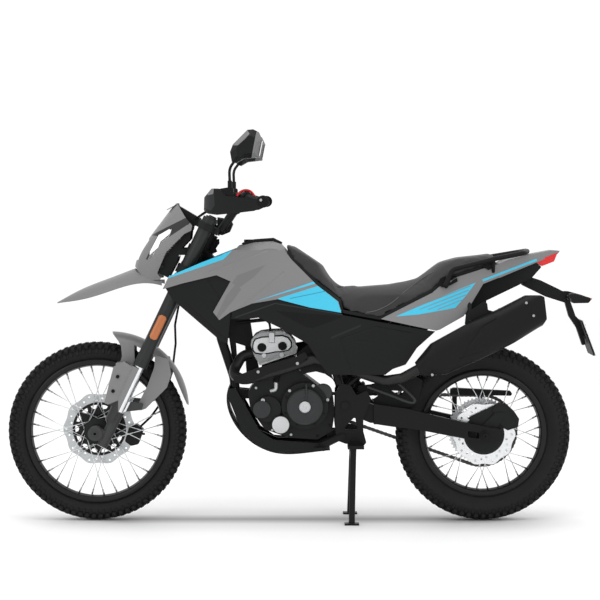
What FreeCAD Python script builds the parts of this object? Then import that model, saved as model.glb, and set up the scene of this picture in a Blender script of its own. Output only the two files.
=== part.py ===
import FreeCAD, Part
import math
import os

# Dual sport motorcycle, millimetres. Front wheel towards -X, +Z up, floor at Z = 0.
# The muffler and the rear brake are on the -Y side, the chain on the +Y side.

os.makedirs("parts", exist_ok=True)

V = FreeCAD.Vector

# Main sizes
FRONT_X = -740.0
FRONT_R = 325.0
REAR_X = 661.0
REAR_R = 318.0
RAKE = 25.5
AXLE_LEAD = 41.5
CLAMP_OFFSET = 22.0
LEG_Y = 100.0
TUBE_R = 25.0
SLIDER_R = 17.5
CASTING_R = 21.0
PIVOT_X, PIVOT_Z = 158.0, 426.0
OUTPUT_X, OUTPUT_Z = 92.0, 418.0
CHAIN_Y = 73.0
CHAIN_PITCH = 15.875
REAR_TEETH = 51
OUTPUT_TEETH = 14
STAND_X, STAND_Z = 190.0, 296.0
PANEL = 4.0
GAP = 0.5

SIN = math.sin(math.radians(RAKE))
COS = math.cos(math.radians(RAKE))
STEER_X = FRONT_X + (AXLE_LEAD + CLAMP_OFFSET) / COS
STEER = FreeCAD.Placement(V(STEER_X, 0, FRONT_R), FreeCAD.Rotation(V(0, 1, 0), RAKE))
AXLE_U = (FRONT_X - STEER_X) * COS
AXLE_W = (FRONT_X - STEER_X) * SIN
SPROCKET_R = CHAIN_PITCH / 2 / math.sin(math.pi / REAR_TEETH)
OUTPUT_R = CHAIN_PITCH / 2 / math.sin(math.pi / OUTPUT_TEETH)


def export(name, shape):
    shape.exportStep("parts/" + name + ".step")


def fuse(shapes):
    shapes = list(shapes)
    if len(shapes) == 1:
        return shapes[0]
    return shapes[0].fuse(shapes[1:])


def main_solid(shape):
    """The largest solid of a cut, without the offcuts."""
    return max(shape.Solids, key=lambda solid: solid.Volume)


def mirror(shape):
    return shape.mirror(V(0, 0, 0), V(0, 1, 0))


def both(shape):
    return Part.makeCompound([shape, mirror(shape)])


def steer(shape):
    """Puts a shape drawn in the fork's own frame (Z up the steering axis) in its place."""
    out = shape.copy()
    out.Placement = STEER.multiply(out.Placement)
    return out


def rod(a, b, r):
    a, b = V(*a), V(*b)
    return Part.makeCylinder(r, (b - a).Length, a, b - a)


def cone(a, b, r1, r2):
    a, b = V(*a), V(*b)
    return Part.makeCone(r1, r2, (b - a).Length, a, b - a)


def across(x, z, y0, y1, r):
    """A round bar along Y."""
    return rod((x, y0, z), (x, y1, z), r)


def box(x0, x1, y0, y1, z0, z1):
    return Part.makeBox(x1 - x0, y1 - y0, z1 - z0, V(x0, y0, z0))


def rounded(points, r):
    """A closed wire through 3D points, each corner rounded with an arc of radius r."""
    edges = []
    n = len(points)
    starts, ends = [], []
    for i in range(n):
        p0, p1, p2 = points[i - 1], points[i], points[(i + 1) % n]
        d0 = (p0 - p1).normalize()
        d1 = (p2 - p1).normalize()
        half = d0.getAngle(d1) / 2
        reach = min(r / math.tan(half), 0.45 * (p0 - p1).Length, 0.45 * (p2 - p1).Length)
        a = p1 + d0 * reach
        b = p1 + d1 * reach
        radius = reach * math.tan(half)
        mid = p1 + (d0 + d1).normalize() * (radius / math.sin(half) - radius)
        if half > math.radians(88):
            starts.append(p1)
            ends.append(p1)
        else:
            edges.append((i, Part.Arc(a, mid, b).toShape()))
            starts.append(a)
            ends.append(b)
    chain = dict(edges)
    out = []
    for i in range(n):
        if i in chain:
            out.append(chain[i])
        j = (i + 1) % n
        if (starts[j] - ends[i]).Length > 1e-6:
            out.append(Part.LineSegment(ends[i], starts[j]).toShape())
    return Part.Wire(out)


def outline(points, r=0.0, y=0.0):
    """A closed wire in the side view from (x, z) points."""
    pts = [V(x, y, z) for x, z in points]
    if r > 0:
        return rounded(pts, r)
    return Part.makePolygon(pts + [pts[0]])


def slab(points, y0, y1, r=0.0):
    """A side-view outline with the thickness y0 to y1."""
    lo, hi = min(y0, y1), max(y0, y1)
    return Part.Face(outline(points, r, lo)).extrude(V(0, hi - lo, 0))


def tube(points, r, bend=60.0):
    """A round bar through points, with its corners bent on arcs."""
    pts = [V(*p) for p in points]
    edges = []
    last = pts[0]
    for i in range(1, len(pts) - 1):
        d0 = (pts[i - 1] - pts[i]).normalize()
        d1 = (pts[i + 1] - pts[i]).normalize()
        half = d0.getAngle(d1) / 2
        reach = min(bend / math.tan(half), 0.48 * (pts[i] - pts[i - 1]).Length, 0.48 * (pts[i + 1] - pts[i]).Length)
        radius = reach * math.tan(half)
        a = pts[i] + d0 * reach
        b = pts[i] + d1 * reach
        mid = pts[i] + (d0 + d1).normalize() * (radius / math.sin(half) - radius)
        if (a - last).Length > 1e-6:
            edges.append(Part.LineSegment(last, a).toShape())
        edges.append(Part.Arc(a, mid, b).toShape())
        last = b
    edges.append(Part.LineSegment(last, pts[-1]).toShape())
    path = Part.Wire(edges)
    start = (pts[1] - pts[0]).normalize()
    ring = Part.Wire(Part.makeCircle(r, pts[0], start))
    return path.makePipeShell([ring], True, True)


def loft(wires, ruled=False):
    return Part.makeLoft(wires, True, ruled)


def lathe(points, x, z):
    """Revolves (radius, y) points around the wheel axis at x, z."""
    pts = [V(x + r, y, z) for r, y in points]
    face = Part.Face(Part.makePolygon(pts + [pts[0]]))
    return face.revolve(V(x, 0, z), V(0, 1, 0), 360)


def lathe_smooth(points, x, z):
    """As lathe, with a smooth curve through the points and a straight closing edge."""
    pts = [V(x + r, y, z) for r, y in points]
    curve = Part.BSplineCurve()
    curve.interpolate(pts)
    wire = Part.Wire([curve.toShape(), Part.LineSegment(pts[-1], pts[0]).toShape()])
    return Part.Face(wire).revolve(V(x, 0, z), V(0, 1, 0), 360)


def polar(x, z, r, deg):
    a = math.radians(deg)
    return x + r * math.cos(a), z + r * math.sin(a)


# The side surface of tank, shrouds, side covers and seat: half width at each X and Z.
SIDE_Z = [540.0, 640.0, 740.0, 840.0, 920.0, 1000.0, 1060.0]
SIDE = {
    -520.0: [150, 168, 186, 198, 192, 178, 165],
    -400.0: [142, 160, 176, 184, 172, 150, 132],
    -280.0: [132, 150, 165, 170, 152, 122, 100],
    -160.0: [140, 146, 154, 156, 136, 104, 80],
    -40.0: [154, 154, 150, 138, 116, 88, 66],
    80.0: [158, 157, 145, 120, 98, 74, 54],
    200.0: [158, 157, 142, 112, 92, 70, 50],
    340.0: [158, 156, 142, 116, 98, 74, 52],
    500.0: [144, 142, 134, 122, 106, 80, 60],
    700.0: [100, 100, 100, 98, 90, 74, 56],
    960.0: [56, 56, 56, 56, 54, 46, 36],
}


def sheet_of(rows):
    """A smooth face through rows of points."""
    surface = Part.BSplineSurface()
    surface.interpolate(rows)
    return surface.toShape()


def side_sheet(inset):
    """The -Y side surface, moved inward by an inset."""
    return sheet_of([[V(x, inset - w, z) for w, z in zip(SIDE[x], SIDE_Z)] for x in sorted(SIDE)])


def side_body(inset):
    """Everything inside both side surfaces, less an inset."""
    half = side_sheet(inset).extrude(V(0, 400, 0))
    return half.common(mirror(half))


def side_panel(points, inset, thick, r=0.0):
    """A panel on the -Y side surface, cut to a side-view outline."""
    skin = side_sheet(inset).extrude(V(0, thick, 0))
    return skin.common(slab(points, -260, -20, r))


def posts(points, y0, y1, r=6.0):
    """Mounting posts along Y on both sides, from |y| = y0 to y1."""
    out = []
    for x, z in points:
        out.append(across(x, z, y0, y1, r))
        out.append(across(x, z, -y1, -y0, r))
    return out


def ring_points(n, r, x, z, first=0.0):
    return [polar(x, z, r, first + 360.0 * i / n) for i in range(n)]


# Wheels

def tyre(x, radius, width, bead_r, bead_w):
    wall = (radius + bead_r) / 2
    half = width / 2
    profile = [
        (bead_r, -bead_w), (bead_r + 12, -bead_w - 3), (wall, -half * 0.98), (radius - 26, -half),
        (radius - 9, -half * 0.78), (radius - 1.5, -half * 0.38), (radius, 0),
        (radius - 1.5, half * 0.38), (radius - 9, half * 0.78), (radius - 26, half),
        (wall, half * 0.98), (bead_r + 12, bead_w + 3), (bead_r, bead_w),
    ]
    return lathe_smooth(profile, x, radius)


def wire_wheel(x, z, bead_r, rim_w, hub_r, hub_w, body, spokes=32):
    """Rim, crossed spokes and hub of a wire wheel, one welded-up piece."""
    drop = bead_r - 30
    flange = bead_r + 13
    rim = lathe([
        (bead_r, -rim_w), (flange, -rim_w - 3), (flange, -rim_w - 8), (bead_r - 8, -rim_w - 8),
        (drop + 2, -rim_w * 0.45), (drop + 2, rim_w * 0.45), (bead_r - 8, rim_w + 8),
        (flange, rim_w + 8), (flange, rim_w + 3), (bead_r, rim_w),
        (drop + 8, rim_w * 0.4), (drop + 8, -rim_w * 0.4),
    ], x, z)
    hub = lathe(body, x, z)
    wires = []
    for i in range(spokes):
        side = 1 if i % 2 else -1
        lean = 1 if (i // 2) % 2 else -1
        out = 360.0 * (i + 0.5) / spokes
        inner = polar(x, z, hub_r, out + lean * 62.0)
        outer = polar(x, z, drop + 5, out)
        wires.append(rod((inner[0], side * hub_w, inner[1]), (outer[0], side * 6.0, outer[1]), 1.9))
    return fuse([rim, hub] + wires)


def wavy_disc(x, z, r, inner, y, thick, waves, holes):
    """A brake disc with a scalloped edge, drilled all round."""
    pts = []
    for i in range(waves * 2):
        rr = r if i % 2 == 0 else r - 6
        pts.append(polar(x, z, rr, 360.0 * i / (waves * 2)))
    plate = slab(pts, y - thick / 2, y + thick / 2, 12)
    cuts = [across(x, z, y - 10, y + 10, inner)]
    for i in range(holes):
        rr = (r + inner) / 2 + (7 if i % 2 else -5) - 3
        cuts.append(across(*polar(x, z, rr, 360.0 * i / holes + 4), y - 10, y + 10, 4.0))
    return plate.cut(cuts)


def toothed_disc(x, z, tip, root, inner, y, thick, teeth, windows):
    """The chain wheel: short teeth, a ring and slots between its arms."""
    pts = []
    for i in range(teeth):
        a = 360.0 * i / teeth
        step = 360.0 / teeth
        pts.append(polar(x, z, root, a - step * 0.32))
        pts.append(polar(x, z, tip, a - step * 0.12))
        pts.append(polar(x, z, tip, a + step * 0.12))
        pts.append(polar(x, z, root, a + step * 0.32))
    plate = slab(pts, y - thick / 2, y + thick / 2)
    cuts = [across(x, z, y - 10, y + 10, inner)]
    for i in range(windows):
        a = 360.0 * i / windows
        hole = slab([
            polar(x, z, root - 14, a - 17), polar(x, z, root - 14, a + 17),
            polar(x, z, inner + 26, a + 14), polar(x, z, inner + 26, a - 14),
        ], y - 10, y + 10, 6)
        cuts.append(hole)
    return plate.cut(cuts)


FRONT_BEAD, REAR_BEAD = 241.5, 216.0
FRONT_HALF, REAR_HALF = 44.0, 53.0
AXLE_R = 10.0
FRONT_DISC_Y, REAR_DISC_Y = 60.0, -66.0
FRONT_DISC_R, REAR_DISC_R = 132.5, 114.0


def front_wheel():
    x, z = FRONT_X, FRONT_R
    body = [(AXLE_R + 0.05, -46), (24, -46), (26, -36), (47, -34), (47, -28), (27, -24),
            (26, 24), (47, 28), (47, 34), (38, 36), (38, FRONT_DISC_Y - 3), (AXLE_R + 0.05, FRONT_DISC_Y - 3)]
    wheel = wire_wheel(x, z, FRONT_BEAD, 20, 44, 31, body)
    export("front_wheel", wheel)
    export("front_tyre", tyre(x, FRONT_R, FRONT_HALF * 2, FRONT_BEAD + 0.2, 19))
    y = FRONT_DISC_Y
    carrier = lathe([(24, y - 3), (92, y - 3), (92, y + 3), (24, y + 3)], x, z)
    gaps = []
    for i in range(6):
        a = 60.0 * i
        gaps.append(slab([polar(x, z, 82, a - 20), polar(x, z, 82, a + 20),
                          polar(x, z, 48, a + 15), polar(x, z, 48, a - 15)], y - 9, y + 9, 6))
    carrier = carrier.cut(gaps)
    ring = wavy_disc(x, z, FRONT_DISC_R, 88, y, 4.0, 12, 24)
    export("front_disc", fuse([ring, carrier]))


def rear_wheel():
    x, z = REAR_X, REAR_R
    side = CHAIN_Y - 3.2
    body = [(AXLE_R + 0.05, REAR_DISC_Y + 2.5), (52, REAR_DISC_Y + 2.5), (52, -44), (57, -40), (57, -34), (34, -28),
            (34, 26), (57, 32), (57, 40), (48, 44), (48, side), (AXLE_R + 0.05, side)]
    wheel = wire_wheel(x, z, REAR_BEAD, 24, 53, 36, body)
    export("rear_wheel", wheel)
    export("rear_tyre", tyre(x, REAR_R, REAR_HALF * 2, REAR_BEAD + 0.2, 23))
    y = REAR_DISC_Y
    ring = wavy_disc(x, z, REAR_DISC_R, 70, y, 4.0, 12, 24)
    carrier = lathe([(26, y - 2.4), (71, y - 2.4), (71, y + 2.4), (26, y + 2.4)], x, z)
    cap = lathe([(30, y - 8), (60, y - 6), (66, y - 2.4), (30, y - 2.4)], x, z)
    export("rear_disc", fuse([ring, carrier, cap]))
    wheel = toothed_disc(x, z, SPROCKET_R - 6.5, SPROCKET_R - 12.5, 30, CHAIN_Y, 6.0, REAR_TEETH, 6)
    export("sprocket", wheel)


# Chain

def chain_path():
    """Corner data of the loop: both wheels' centres, their radii and the tangent angle."""
    x0, z0, x1, z1 = OUTPUT_X, OUTPUT_Z, REAR_X, REAR_R
    run = math.hypot(x1 - x0, z1 - z0)
    tilt = math.atan2(z1 - z0, x1 - x0)
    open_angle = math.asin((SPROCKET_R - OUTPUT_R) / run)
    return x0, z0, x1, z1, tilt, open_angle


def chain_points(offset, steps):
    """Points round the loop at an offset from the pitch line, evenly spaced by length."""
    x0, z0, x1, z1, tilt, spread = chain_path()
    top0, top1 = tilt + math.pi / 2 + spread, tilt + math.pi / 2 + spread
    low = tilt - math.pi / 2 - spread
    run = math.hypot(x1 - x0, z1 - z0) * math.cos(spread)
    arc1 = (top1 - low) % (2 * math.pi)
    arc0 = 2 * math.pi - arc1
    total = 2 * run + SPROCKET_R * arc1 + OUTPUT_R * arc0
    pts = []
    for i in range(steps):
        s = total * i / steps
        if s < run:
            a = top0
            bx = x0 + OUTPUT_R * math.cos(a) + s * math.cos(a - math.pi / 2)
            bz = z0 + OUTPUT_R * math.sin(a) + s * math.sin(a - math.pi / 2)
        elif s < run + SPROCKET_R * arc1:
            a = top1 - (s - run) / SPROCKET_R
            bx, bz = x1 + SPROCKET_R * math.cos(a), z1 + SPROCKET_R * math.sin(a)
        elif s < 2 * run + SPROCKET_R * arc1:
            a = low
            t = s - run - SPROCKET_R * arc1
            bx = x1 + SPROCKET_R * math.cos(a) + t * math.cos(a - math.pi / 2)
            bz = z1 + SPROCKET_R * math.sin(a) + t * math.sin(a - math.pi / 2)
        else:
            a = low - (s - 2 * run - SPROCKET_R * arc1) / OUTPUT_R
            bx, bz = x0 + OUTPUT_R * math.cos(a), z0 + OUTPUT_R * math.sin(a)
        pts.append((bx + offset[i % len(offset)] * math.cos(a), bz + offset[i % len(offset)] * math.sin(a)))
    return pts


def chain():
    links = 104
    outer = slab(chain_points([7.4, 4.8], links * 2), CHAIN_Y - 8.5, CHAIN_Y + 8.5)
    inner = slab(chain_points([-5.2], links), CHAIN_Y - 20, CHAIN_Y + 20)
    export("chain", outer.cut(inner))



# Steering, drawn in the fork's own frame: x rearward from the steering axis, z up along it

CHROME_W0, TUBE_W0 = 78.0, 264.0
LOW_CLAMP_W, TOP_CLAMP_W = 622.0, 800.0
LEG_U = -CLAMP_OFFSET


def clamp(w, height, nose):
    """A fork clamp: a bridge between the two legs round the steering stem."""
    plate = box(LEG_U - 16, 26, -LEG_Y, LEG_Y, w, w + height)
    eyes = [rod((LEG_U, s * LEG_Y, w), (LEG_U, s * LEG_Y, w + height), TUBE_R + 9) for s in (-1, 1)]
    stem = rod((0, 0, w), (0, 0, w + height), 32)
    return fuse([plate, stem] + eyes)


def fork():
    bores = [rod((LEG_U, s * LEG_Y, 0), (LEG_U, s * LEG_Y, 1000), TUBE_R) for s in (-1, 1)]
    stem = rod((0, 0, LOW_CLAMP_W + 5), (0, 0, TOP_CLAMP_W + 32), 15)
    clamps = fuse([clamp(LOW_CLAMP_W, 32, 0), clamp(TOP_CLAMP_W, 24, 0), stem])
    risers = [rod((30, s * 45, TOP_CLAMP_W + 20), (43, s * 45, BAR_W), 15) for s in (-1, 1)]
    caps = [rod((43.5, s * 45 - 14, BAR_W), (43.5, s * 45 + 14, BAR_W), 21) for s in (-1, 1)]
    clamps = fuse([clamps] + risers + caps).cut(bores + [rod((43.5, -80, BAR_W), (43.5, 80, BAR_W), 11.1)])
    export("fork_clamps", steer(clamps))
    tubes = []
    for s in (-1, 1):
        y = s * LEG_Y
        tube_ = rod((LEG_U, y, TUBE_W0), (LEG_U, y, 846), TUBE_R - 0.05)
        seal = rod((LEG_U, y, TUBE_W0 - 8), (LEG_U, y, TUBE_W0 + 10), TUBE_R + 1.5)
        bore = rod((LEG_U, y, TUBE_W0 - 20), (LEG_U, y, TUBE_W0 + 250), SLIDER_R + 0.05)
        cap = rod((LEG_U, y, 846), (LEG_U, y, 852), 15)
        tubes.append(fuse([tube_, seal, cap]).cut(bore))
    export("fork_tubes", steer(Part.makeCompound(tubes)))
    lowers = []
    for s in (-1, 1):
        y = s * LEG_Y
        slider = rod((LEG_U, y, 40), (LEG_U, y, TUBE_W0 + 240), SLIDER_R)
        casting = cone((LEG_U, y, -62), (LEG_U, y, CHROME_W0), CASTING_R - 3, CASTING_R + 1)
        eye = rod((AXLE_U, y - s * 21, AXLE_W), (AXLE_U, y + s * 21, AXLE_W), 26)
        web = box(AXLE_U, LEG_U, y - 15, y + 15, AXLE_W - 18, AXLE_W + 24)
        lowers.append(fuse([slider, casting, eye, web]))
    axle = rod((AXLE_U, -LEG_Y - 24, AXLE_W), (AXLE_U, LEG_Y + 24, AXLE_W), AXLE_R)
    spacers = [
        rod((AXLE_U, -LEG_Y + 15, AXLE_W), (AXLE_U, -46.5, AXLE_W), 17),
        rod((AXLE_U, FRONT_DISC_Y - 2.5, AXLE_W), (AXLE_U, LEG_Y - 15, AXLE_W), 17),
    ]
    bore = rod((AXLE_U, -200, AXLE_W), (AXLE_U, 200, AXLE_W), AXLE_HOLLOW)
    lugs = [slab([(-652, 440), (-652, 400), (-574, 408), (-566, 432)], min(s * 84.3, s * 92), max(s * 84.3, s * 92), 6)
            for s in (-1, 1)]
    export("fork_lowers", fuse([steer(fuse(lowers + [axle] + spacers).cut(bore))] + lugs))


BAR_W = 914.0
AXLE_HOLLOW = 5.0
BAR_X, BAR_Z = STEER_X + BAR_W * SIN + 43.5 * COS, FRONT_R + BAR_W * COS - 43.5 * SIN
BAR_HALF = 405.0
BAR_PATH = [(BAR_X, 0), (BAR_X, 84), (BAR_X + 4, 150), (BAR_X + 24, 225), (BAR_X + 104, BAR_HALF)]
BAR_RISE = [0, 0, 40, 44, 22]
GRIP_DX = (BAR_PATH[4][0] - BAR_PATH[3][0]) / (BAR_HALF - 225)
GRIP_DZ = (BAR_RISE[4] - BAR_RISE[3]) / (BAR_HALF - 225)


def on_bar(y):
    """The point of the bar's outer straight run at a given side distance."""
    return (BAR_PATH[3][0] + (y - 225) * GRIP_DX, -y, BAR_Z + BAR_RISE[3] + (y - 225) * GRIP_DZ)


def handlebar():
    half = [(x, -y, BAR_Z + rise) for (x, y), rise in zip(BAR_PATH, BAR_RISE)]
    full = [(x, -y, z) for x, y, z in half[:0:-1]] + half[1:]
    export("handlebar", tube(full, 11, 45))
    ends = []
    for s in (1, -1):
        grip = rod(on_bar(285), on_bar(BAR_HALF - 3), 16.5)
        flange = rod(on_bar(281), on_bar(286), 21)
        body = rod(on_bar(248), on_bar(280.5), 20)
        x, y, z = on_bar(240)
        master = fuse([
            box(x - 30, x, y - 14, y + 14, z - 10, z + 12),
            box(x - 74, x - 22, y - 20, y + 20, z - 14, z + 14),
            slab([(x - 80, z + 6), (x - 78, z + 30), (x - 40, z + 36), (x - 30, z + 30), (x - 30, z + 6)], y - 22, y + 16, 4),
        ])
        lever = tube([(x - 56, y - 12, z), (x - 72, y - 60, z - 3), (x - 38, y - 146, z - 20)], 5.5, 40)
        piece = fuse([grip, flange, body, master, lever]).cut(rod(on_bar(200), on_bar(450), 11.05))
        ends.append(piece if s > 0 else mirror(piece))
    controls = Part.makeCompound(ends)
    export("hand_controls", controls)
    return controls


def band(points, t):
    """A closed wire round a curved strip: a spline through points and its offset by t."""
    out, back = [], []
    n = len(points)
    for i in range(n):
        a, b = points[max(i - 1, 0)], points[min(i + 1, n - 1)]
        d = (b - a).normalize()
        side = V(-d.y, d.x, 0)
        out.append(points[i])
        back.append(points[i] + side * t)
    c0, c1 = Part.BSplineCurve(), Part.BSplineCurve()
    c0.interpolate(out)
    c1.interpolate(back[::-1])
    return Part.Wire([c0.toShape(), Part.LineSegment(out[-1], back[-1]).toShape(),
                      c1.toShape(), Part.LineSegment(back[0], out[0]).toShape()])


def hand_guards():
    plan = [V(-264, -205, 0), V(-294, -222, 0), V(-320, -258, 0), V(-333, -305, 0), V(-331, -348, 0),
            V(-305, -387, 0), V(-245, -410, 0), V(-180, -418, 0), V(-130, -421, 0)]
    strip = Part.Face(band(plan, -4.0)).extrude(V(0, 0, 220))
    strip.translate(V(0, 0, 1030))
    face = slab([(-338, 1128), (-336, 1172), (-309, 1203), (-284, 1203), (-262, 1178), (-170, 1168), (-128, 1164),
                 (-124, 1143), (-160, 1126), (-210, 1120), (-290, 1112), (-322, 1116)], -460, -180, 5)
    end = rod(on_bar(BAR_HALF + 1.6), (-133, -421, on_bar(BAR_HALF)[2]), 13)
    inner = (BAR_X + 15, -190, BAR_Z + 42)
    arm = rod((-266, -208, 1160), inner, 6)
    eye = rod((inner[0] - 2.5, inner[1] + 9, inner[2]), (inner[0] + 2.5, inner[1] - 9, inner[2]), 17)
    bar = rod((BAR_X + 4, -150, BAR_Z + 40), on_bar(225), 11.4)
    guard = fuse([strip.common(face), end, arm, eye]).cut([bar, rod(on_bar(225), on_bar(BAR_HALF + 0.3), 12)])
    export("hand_guards", both(guard))


MIRROR = [(-240, 1296), (-246, 1330), (-236, 1356), (-186, 1406), (-166, 1408), (-146, 1398), (-134, 1372), (-146, 1312),
          (-200, 1306), (-226, 1291)]
MIRROR_CENTRE = (-190, 1350)


def mirrors(controls):
    """Angular mirror housings on bent stems, each stem screwed down on its lever perch."""
    out = []
    for s in (1, -1):
        x, y, z = on_bar(240)
        foot = rod((x - 44, y - 2, z + 30), (x - 44, y - 2, z + 58), 8)
        stem = tube([(x - 44, y - 2, z + 48), (x - 46, y - 6, z + 100), (-216, y - 58, 1322)], 5, 40)
        sections = []
        for side, size in ((y - 14, 0.7), (y - 34, 1.0), (y - 118, 1.0), (y - 140, 0.62)):
            cx, cz = MIRROR_CENTRE
            sections.append(outline([(cx + (px - cx) * size, cz + (pz - cz) * size) for px, pz in MIRROR], 0, side))
        piece = fuse([stem, foot, loft(sections, True)])
        piece = main_solid(piece.cut(controls))
        out.append(piece if s > 0 else mirror(piece))
    export("mirrors", Part.makeCompound(out))


def arch(x, hw, z_side, z_top, t, lean=0.0):
    """A roof-like cross-section at x: an outer curve, an inner one and two edges."""
    def curve(w, zs, zt):
        c = Part.BSplineCurve()
        c.interpolate([V(x + lean, -w, zs), V(x + lean * 0.4, -w * 0.82, zs + (zt - zs) * 0.62), V(x, 0, zt),
                       V(x + lean * 0.4, w * 0.82, zs + (zt - zs) * 0.62), V(x + lean, w, zs)])
        return c
    outer = curve(hw, z_side, z_top)
    inner = curve(hw - t, z_side, z_top - t)
    a, b = outer.StartPoint, outer.EndPoint
    c, d = inner.StartPoint, inner.EndPoint
    return Part.Wire([outer.toShape(), Part.LineSegment(b, d).toShape(), inner.toShape(),
                      Part.LineSegment(c, a).toShape()])


def beak():
    rows = [(-884, 14, 789, 793), (-836, 34, 796, 820), (-774, 56, 808, 850), (-690, 74, 834, 882),
            (-612, 84, 858, 912), (-500, 90, 856, 918)]
    shell = loft([arch(x, hw, zs, zt, PANEL) for x, hw, zs, zt in rows])
    export("front_beak", shell.cut(mask_solid(0)))


def mask_solid(inset):
    """The headlamp mask as a closed form: plan sections from the chin up to the screen."""
    rows = [(872, -588, 92), (930, -600, 104), (985, -577, 110), (1035, -543, 108), (1090, -502, 96), (1152, -452, 70)]
    wires = []
    for z, front, hw in rows:
        f, h = front + inset, hw - inset
        c = Part.BSplineCurve()
        c.interpolate([V(-360, -h, z), V(f + 70, -h * 0.98, z), V(f + 16, -h * 0.72, z), V(f, 0, z),
                       V(f + 16, h * 0.72, z), V(f + 70, h * 0.98, z), V(-360, h, z)])
        wires.append(Part.Wire([c.toShape(), Part.LineSegment(V(-360, h, z), V(-360, -h, z)).toShape()]))
    return loft(wires)


MASK = [(-640, 922), (-640, 1160), (-447, 1153), (-414, 1100), (-390, 1072), (-393, 1054), (-418, 1042),
        (-483, 977), (-516, 901), (-500, 879), (-560, 874), (-596, 921)]
LENS_SIDE = [(-543.5, 952), (-506.5, 1029), (-459, 1060), (-473.5, 1031.5), (-498, 1013), (-535, 959)]
INNER_PANEL = [(-519, 905), (-484, 969), (-429, 1031), (-394, 1058), (-398, 1022), (-434, 984), (-446, 941), (-477, 884)]
DASH = [(-446, 1146), (-362, 1096), (-373, 1072), (-398, 1066), (-440, 1096)]


def headlamp():
    shell = mask_solid(0).cut(mask_solid(PANEL)).common(slab(MASK, -160, 160, 4))
    front = box(-700, -548, -66, 66, 946, 1030)
    shell = shell.cut([slab(LENS_SIDE, -160, 160), front])
    bracket = []
    for s in (-1, 1):
        y0, y1 = min(s * 84, s * 89), max(s * 84, s * 89)
        bracket.append(slab(INNER_PANEL, y0, y1, 3))
        ring = steer(rod((LEG_U, s * LEG_Y, 706), (LEG_U, s * LEG_Y, 734), TUBE_R + 4))
        link = box(-450, -392, y0, y1, 966, 990)
        bore = steer(rod((LEG_U, s * LEG_Y, 600), (LEG_U, s * LEG_Y, 800), TUBE_R + 0.2))
        bracket.append(fuse([ring, link]).cut(bore))
        bracket += [across(x, z, min(s * 86, s * 120), max(s * 86, s * 120), 6) for x, z in ((-498, 925), (-425, 1046))]
    bracket.append(across(-416, 1046, -88, 88, 7))
    dash = slab(DASH, -62, 62, 6)
    stay = box(-422, -410, -20, 20, 1046, 1084)
    around = mask_solid(PANEL - 0.05)
    bracket = fuse(bracket + [stay]).cut([dash, shell]).common(around)
    export("headlamp_mask", shell)
    export("instrument_panel", main_solid(dash.cut(mask_solid(-2).cut(mask_solid(PANEL + 0.3)))))
    lens = mask_solid(GAP + 1.5 + PANEL).cut(mask_solid(GAP + 6 + PANEL))
    lens = lens.common(slab([(-660, 938), (-544, 940), (-490, 1000), (-440, 1066), (-520, 1050), (-560, 1040), (-660, 1040)],
                            -160, 160))
    cup = fuse([box(-500, -440, -66, 66, 960, 1030), box(-470, -440, -104, 104, 1030, 1044)])
    bracket = fuse([bracket, box(-452, -440, -88, 88, 975, 1000)]).cut(dash)
    lens = fuse([lens, cup.common(mask_solid(PANEL + GAP + 2))]).cut([bracket, shell])
    export("mask_bracket", bracket)
    export("headlamp", main_solid(lens))


def front_mudguard():
    prof = [V(0, y, r) for y, r in ((-66, 241), (-63, 259), (-46, 275), (0, 284), (46, 275), (63, 259), (66, 241))]
    inner = [V(0, y, r) for y, r in ((-62.5, 241), (-59.5, 257), (-43, 271.5), (0, 280), (43, 271.5), (59.5, 257), (62.5, 241))]
    c0, c1 = Part.BSplineCurve(), Part.BSplineCurve()
    c0.interpolate(prof)
    c1.interpolate(inner)
    wire = Part.Wire([c0.toShape(), Part.LineSegment(prof[-1], inner[-1]).toShape(), c1.toShape(),
                      Part.LineSegment(inner[0], prof[0]).toShape()])
    face = Part.Face(wire)
    face.rotate(V(0, 0, 0), V(0, 1, 0), -10)
    arc = face.revolve(V(0, 0, 0), V(0, 1, 0), 100)
    arc.translate(V(FRONT_X + 48, 0, FRONT_R + 77))
    trim = slab([(-702, 724), (-688, 690), (-659, 655), (-645, 628), (-600, 640), (-545, 612), (-505, 575), (-466, 554),
                 (-414, 425), (-396, 405), (-360, 420), (-370, 560), (-480, 710)], -120, 120)
    pieces = [arc.common(trim)]
    for s in (-1, 1):
        shell = rod((LEG_U, s * LEG_Y, 34), (LEG_U, s * LEG_Y, TUBE_W0 - 14), 32)
        shell = shell.cut([rod((LEG_U, s * LEG_Y, 64), (LEG_U, s * LEG_Y, 400), 28.5),
                           rod((LEG_U, s * LEG_Y, 0), (LEG_U, s * LEG_Y, 70), CASTING_R + 1.3),
                           box(LEG_U + 2, 60, s * LEG_Y - 60, s * LEG_Y + 60, 0, 400)])
        leg = steer(rod((LEG_U, s * LEG_Y, 20), (LEG_U, s * LEG_Y, 400), 28.5))
        y0, y1 = min(s * 118, s * 122), max(s * 118, s * 122)
        cover = slab([(-672, 567), (-634, 585), (-598, 562), (-664, 420), (-706, 436)], y0, y1, 5)
        pieces += [steer(shell), cover.cut(leg)]
        y0, y1 = min(s * 61, s * 66), max(s * 61, s * 66)
        pieces.append(slab([(-526, 604), (-480, 590), (-468, 535), (-484, 487), (-560, 411), (-578, 404), (-592, 421),
                            (-554, 494), (-530, 560)], y0, y1, 5))
        pieces.append(across(-578, 420, min(s * 62, s * 84), max(s * 62, s * 84), 7))
        pieces.append(slab([(-650, 645), (-602, 645), (-600, 575), (-612, 556), (-660, 556), (-646, 600)], y0, y1, 5))
        link = slab([(-664, 580), (-630, 584), (-630, 560), (-664, 558)], min(s * 62, s * 121), max(s * 62, s * 121), 4)
        pieces.append(link.cut(leg))
    export("front_mudguard", fuse(pieces))


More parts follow.
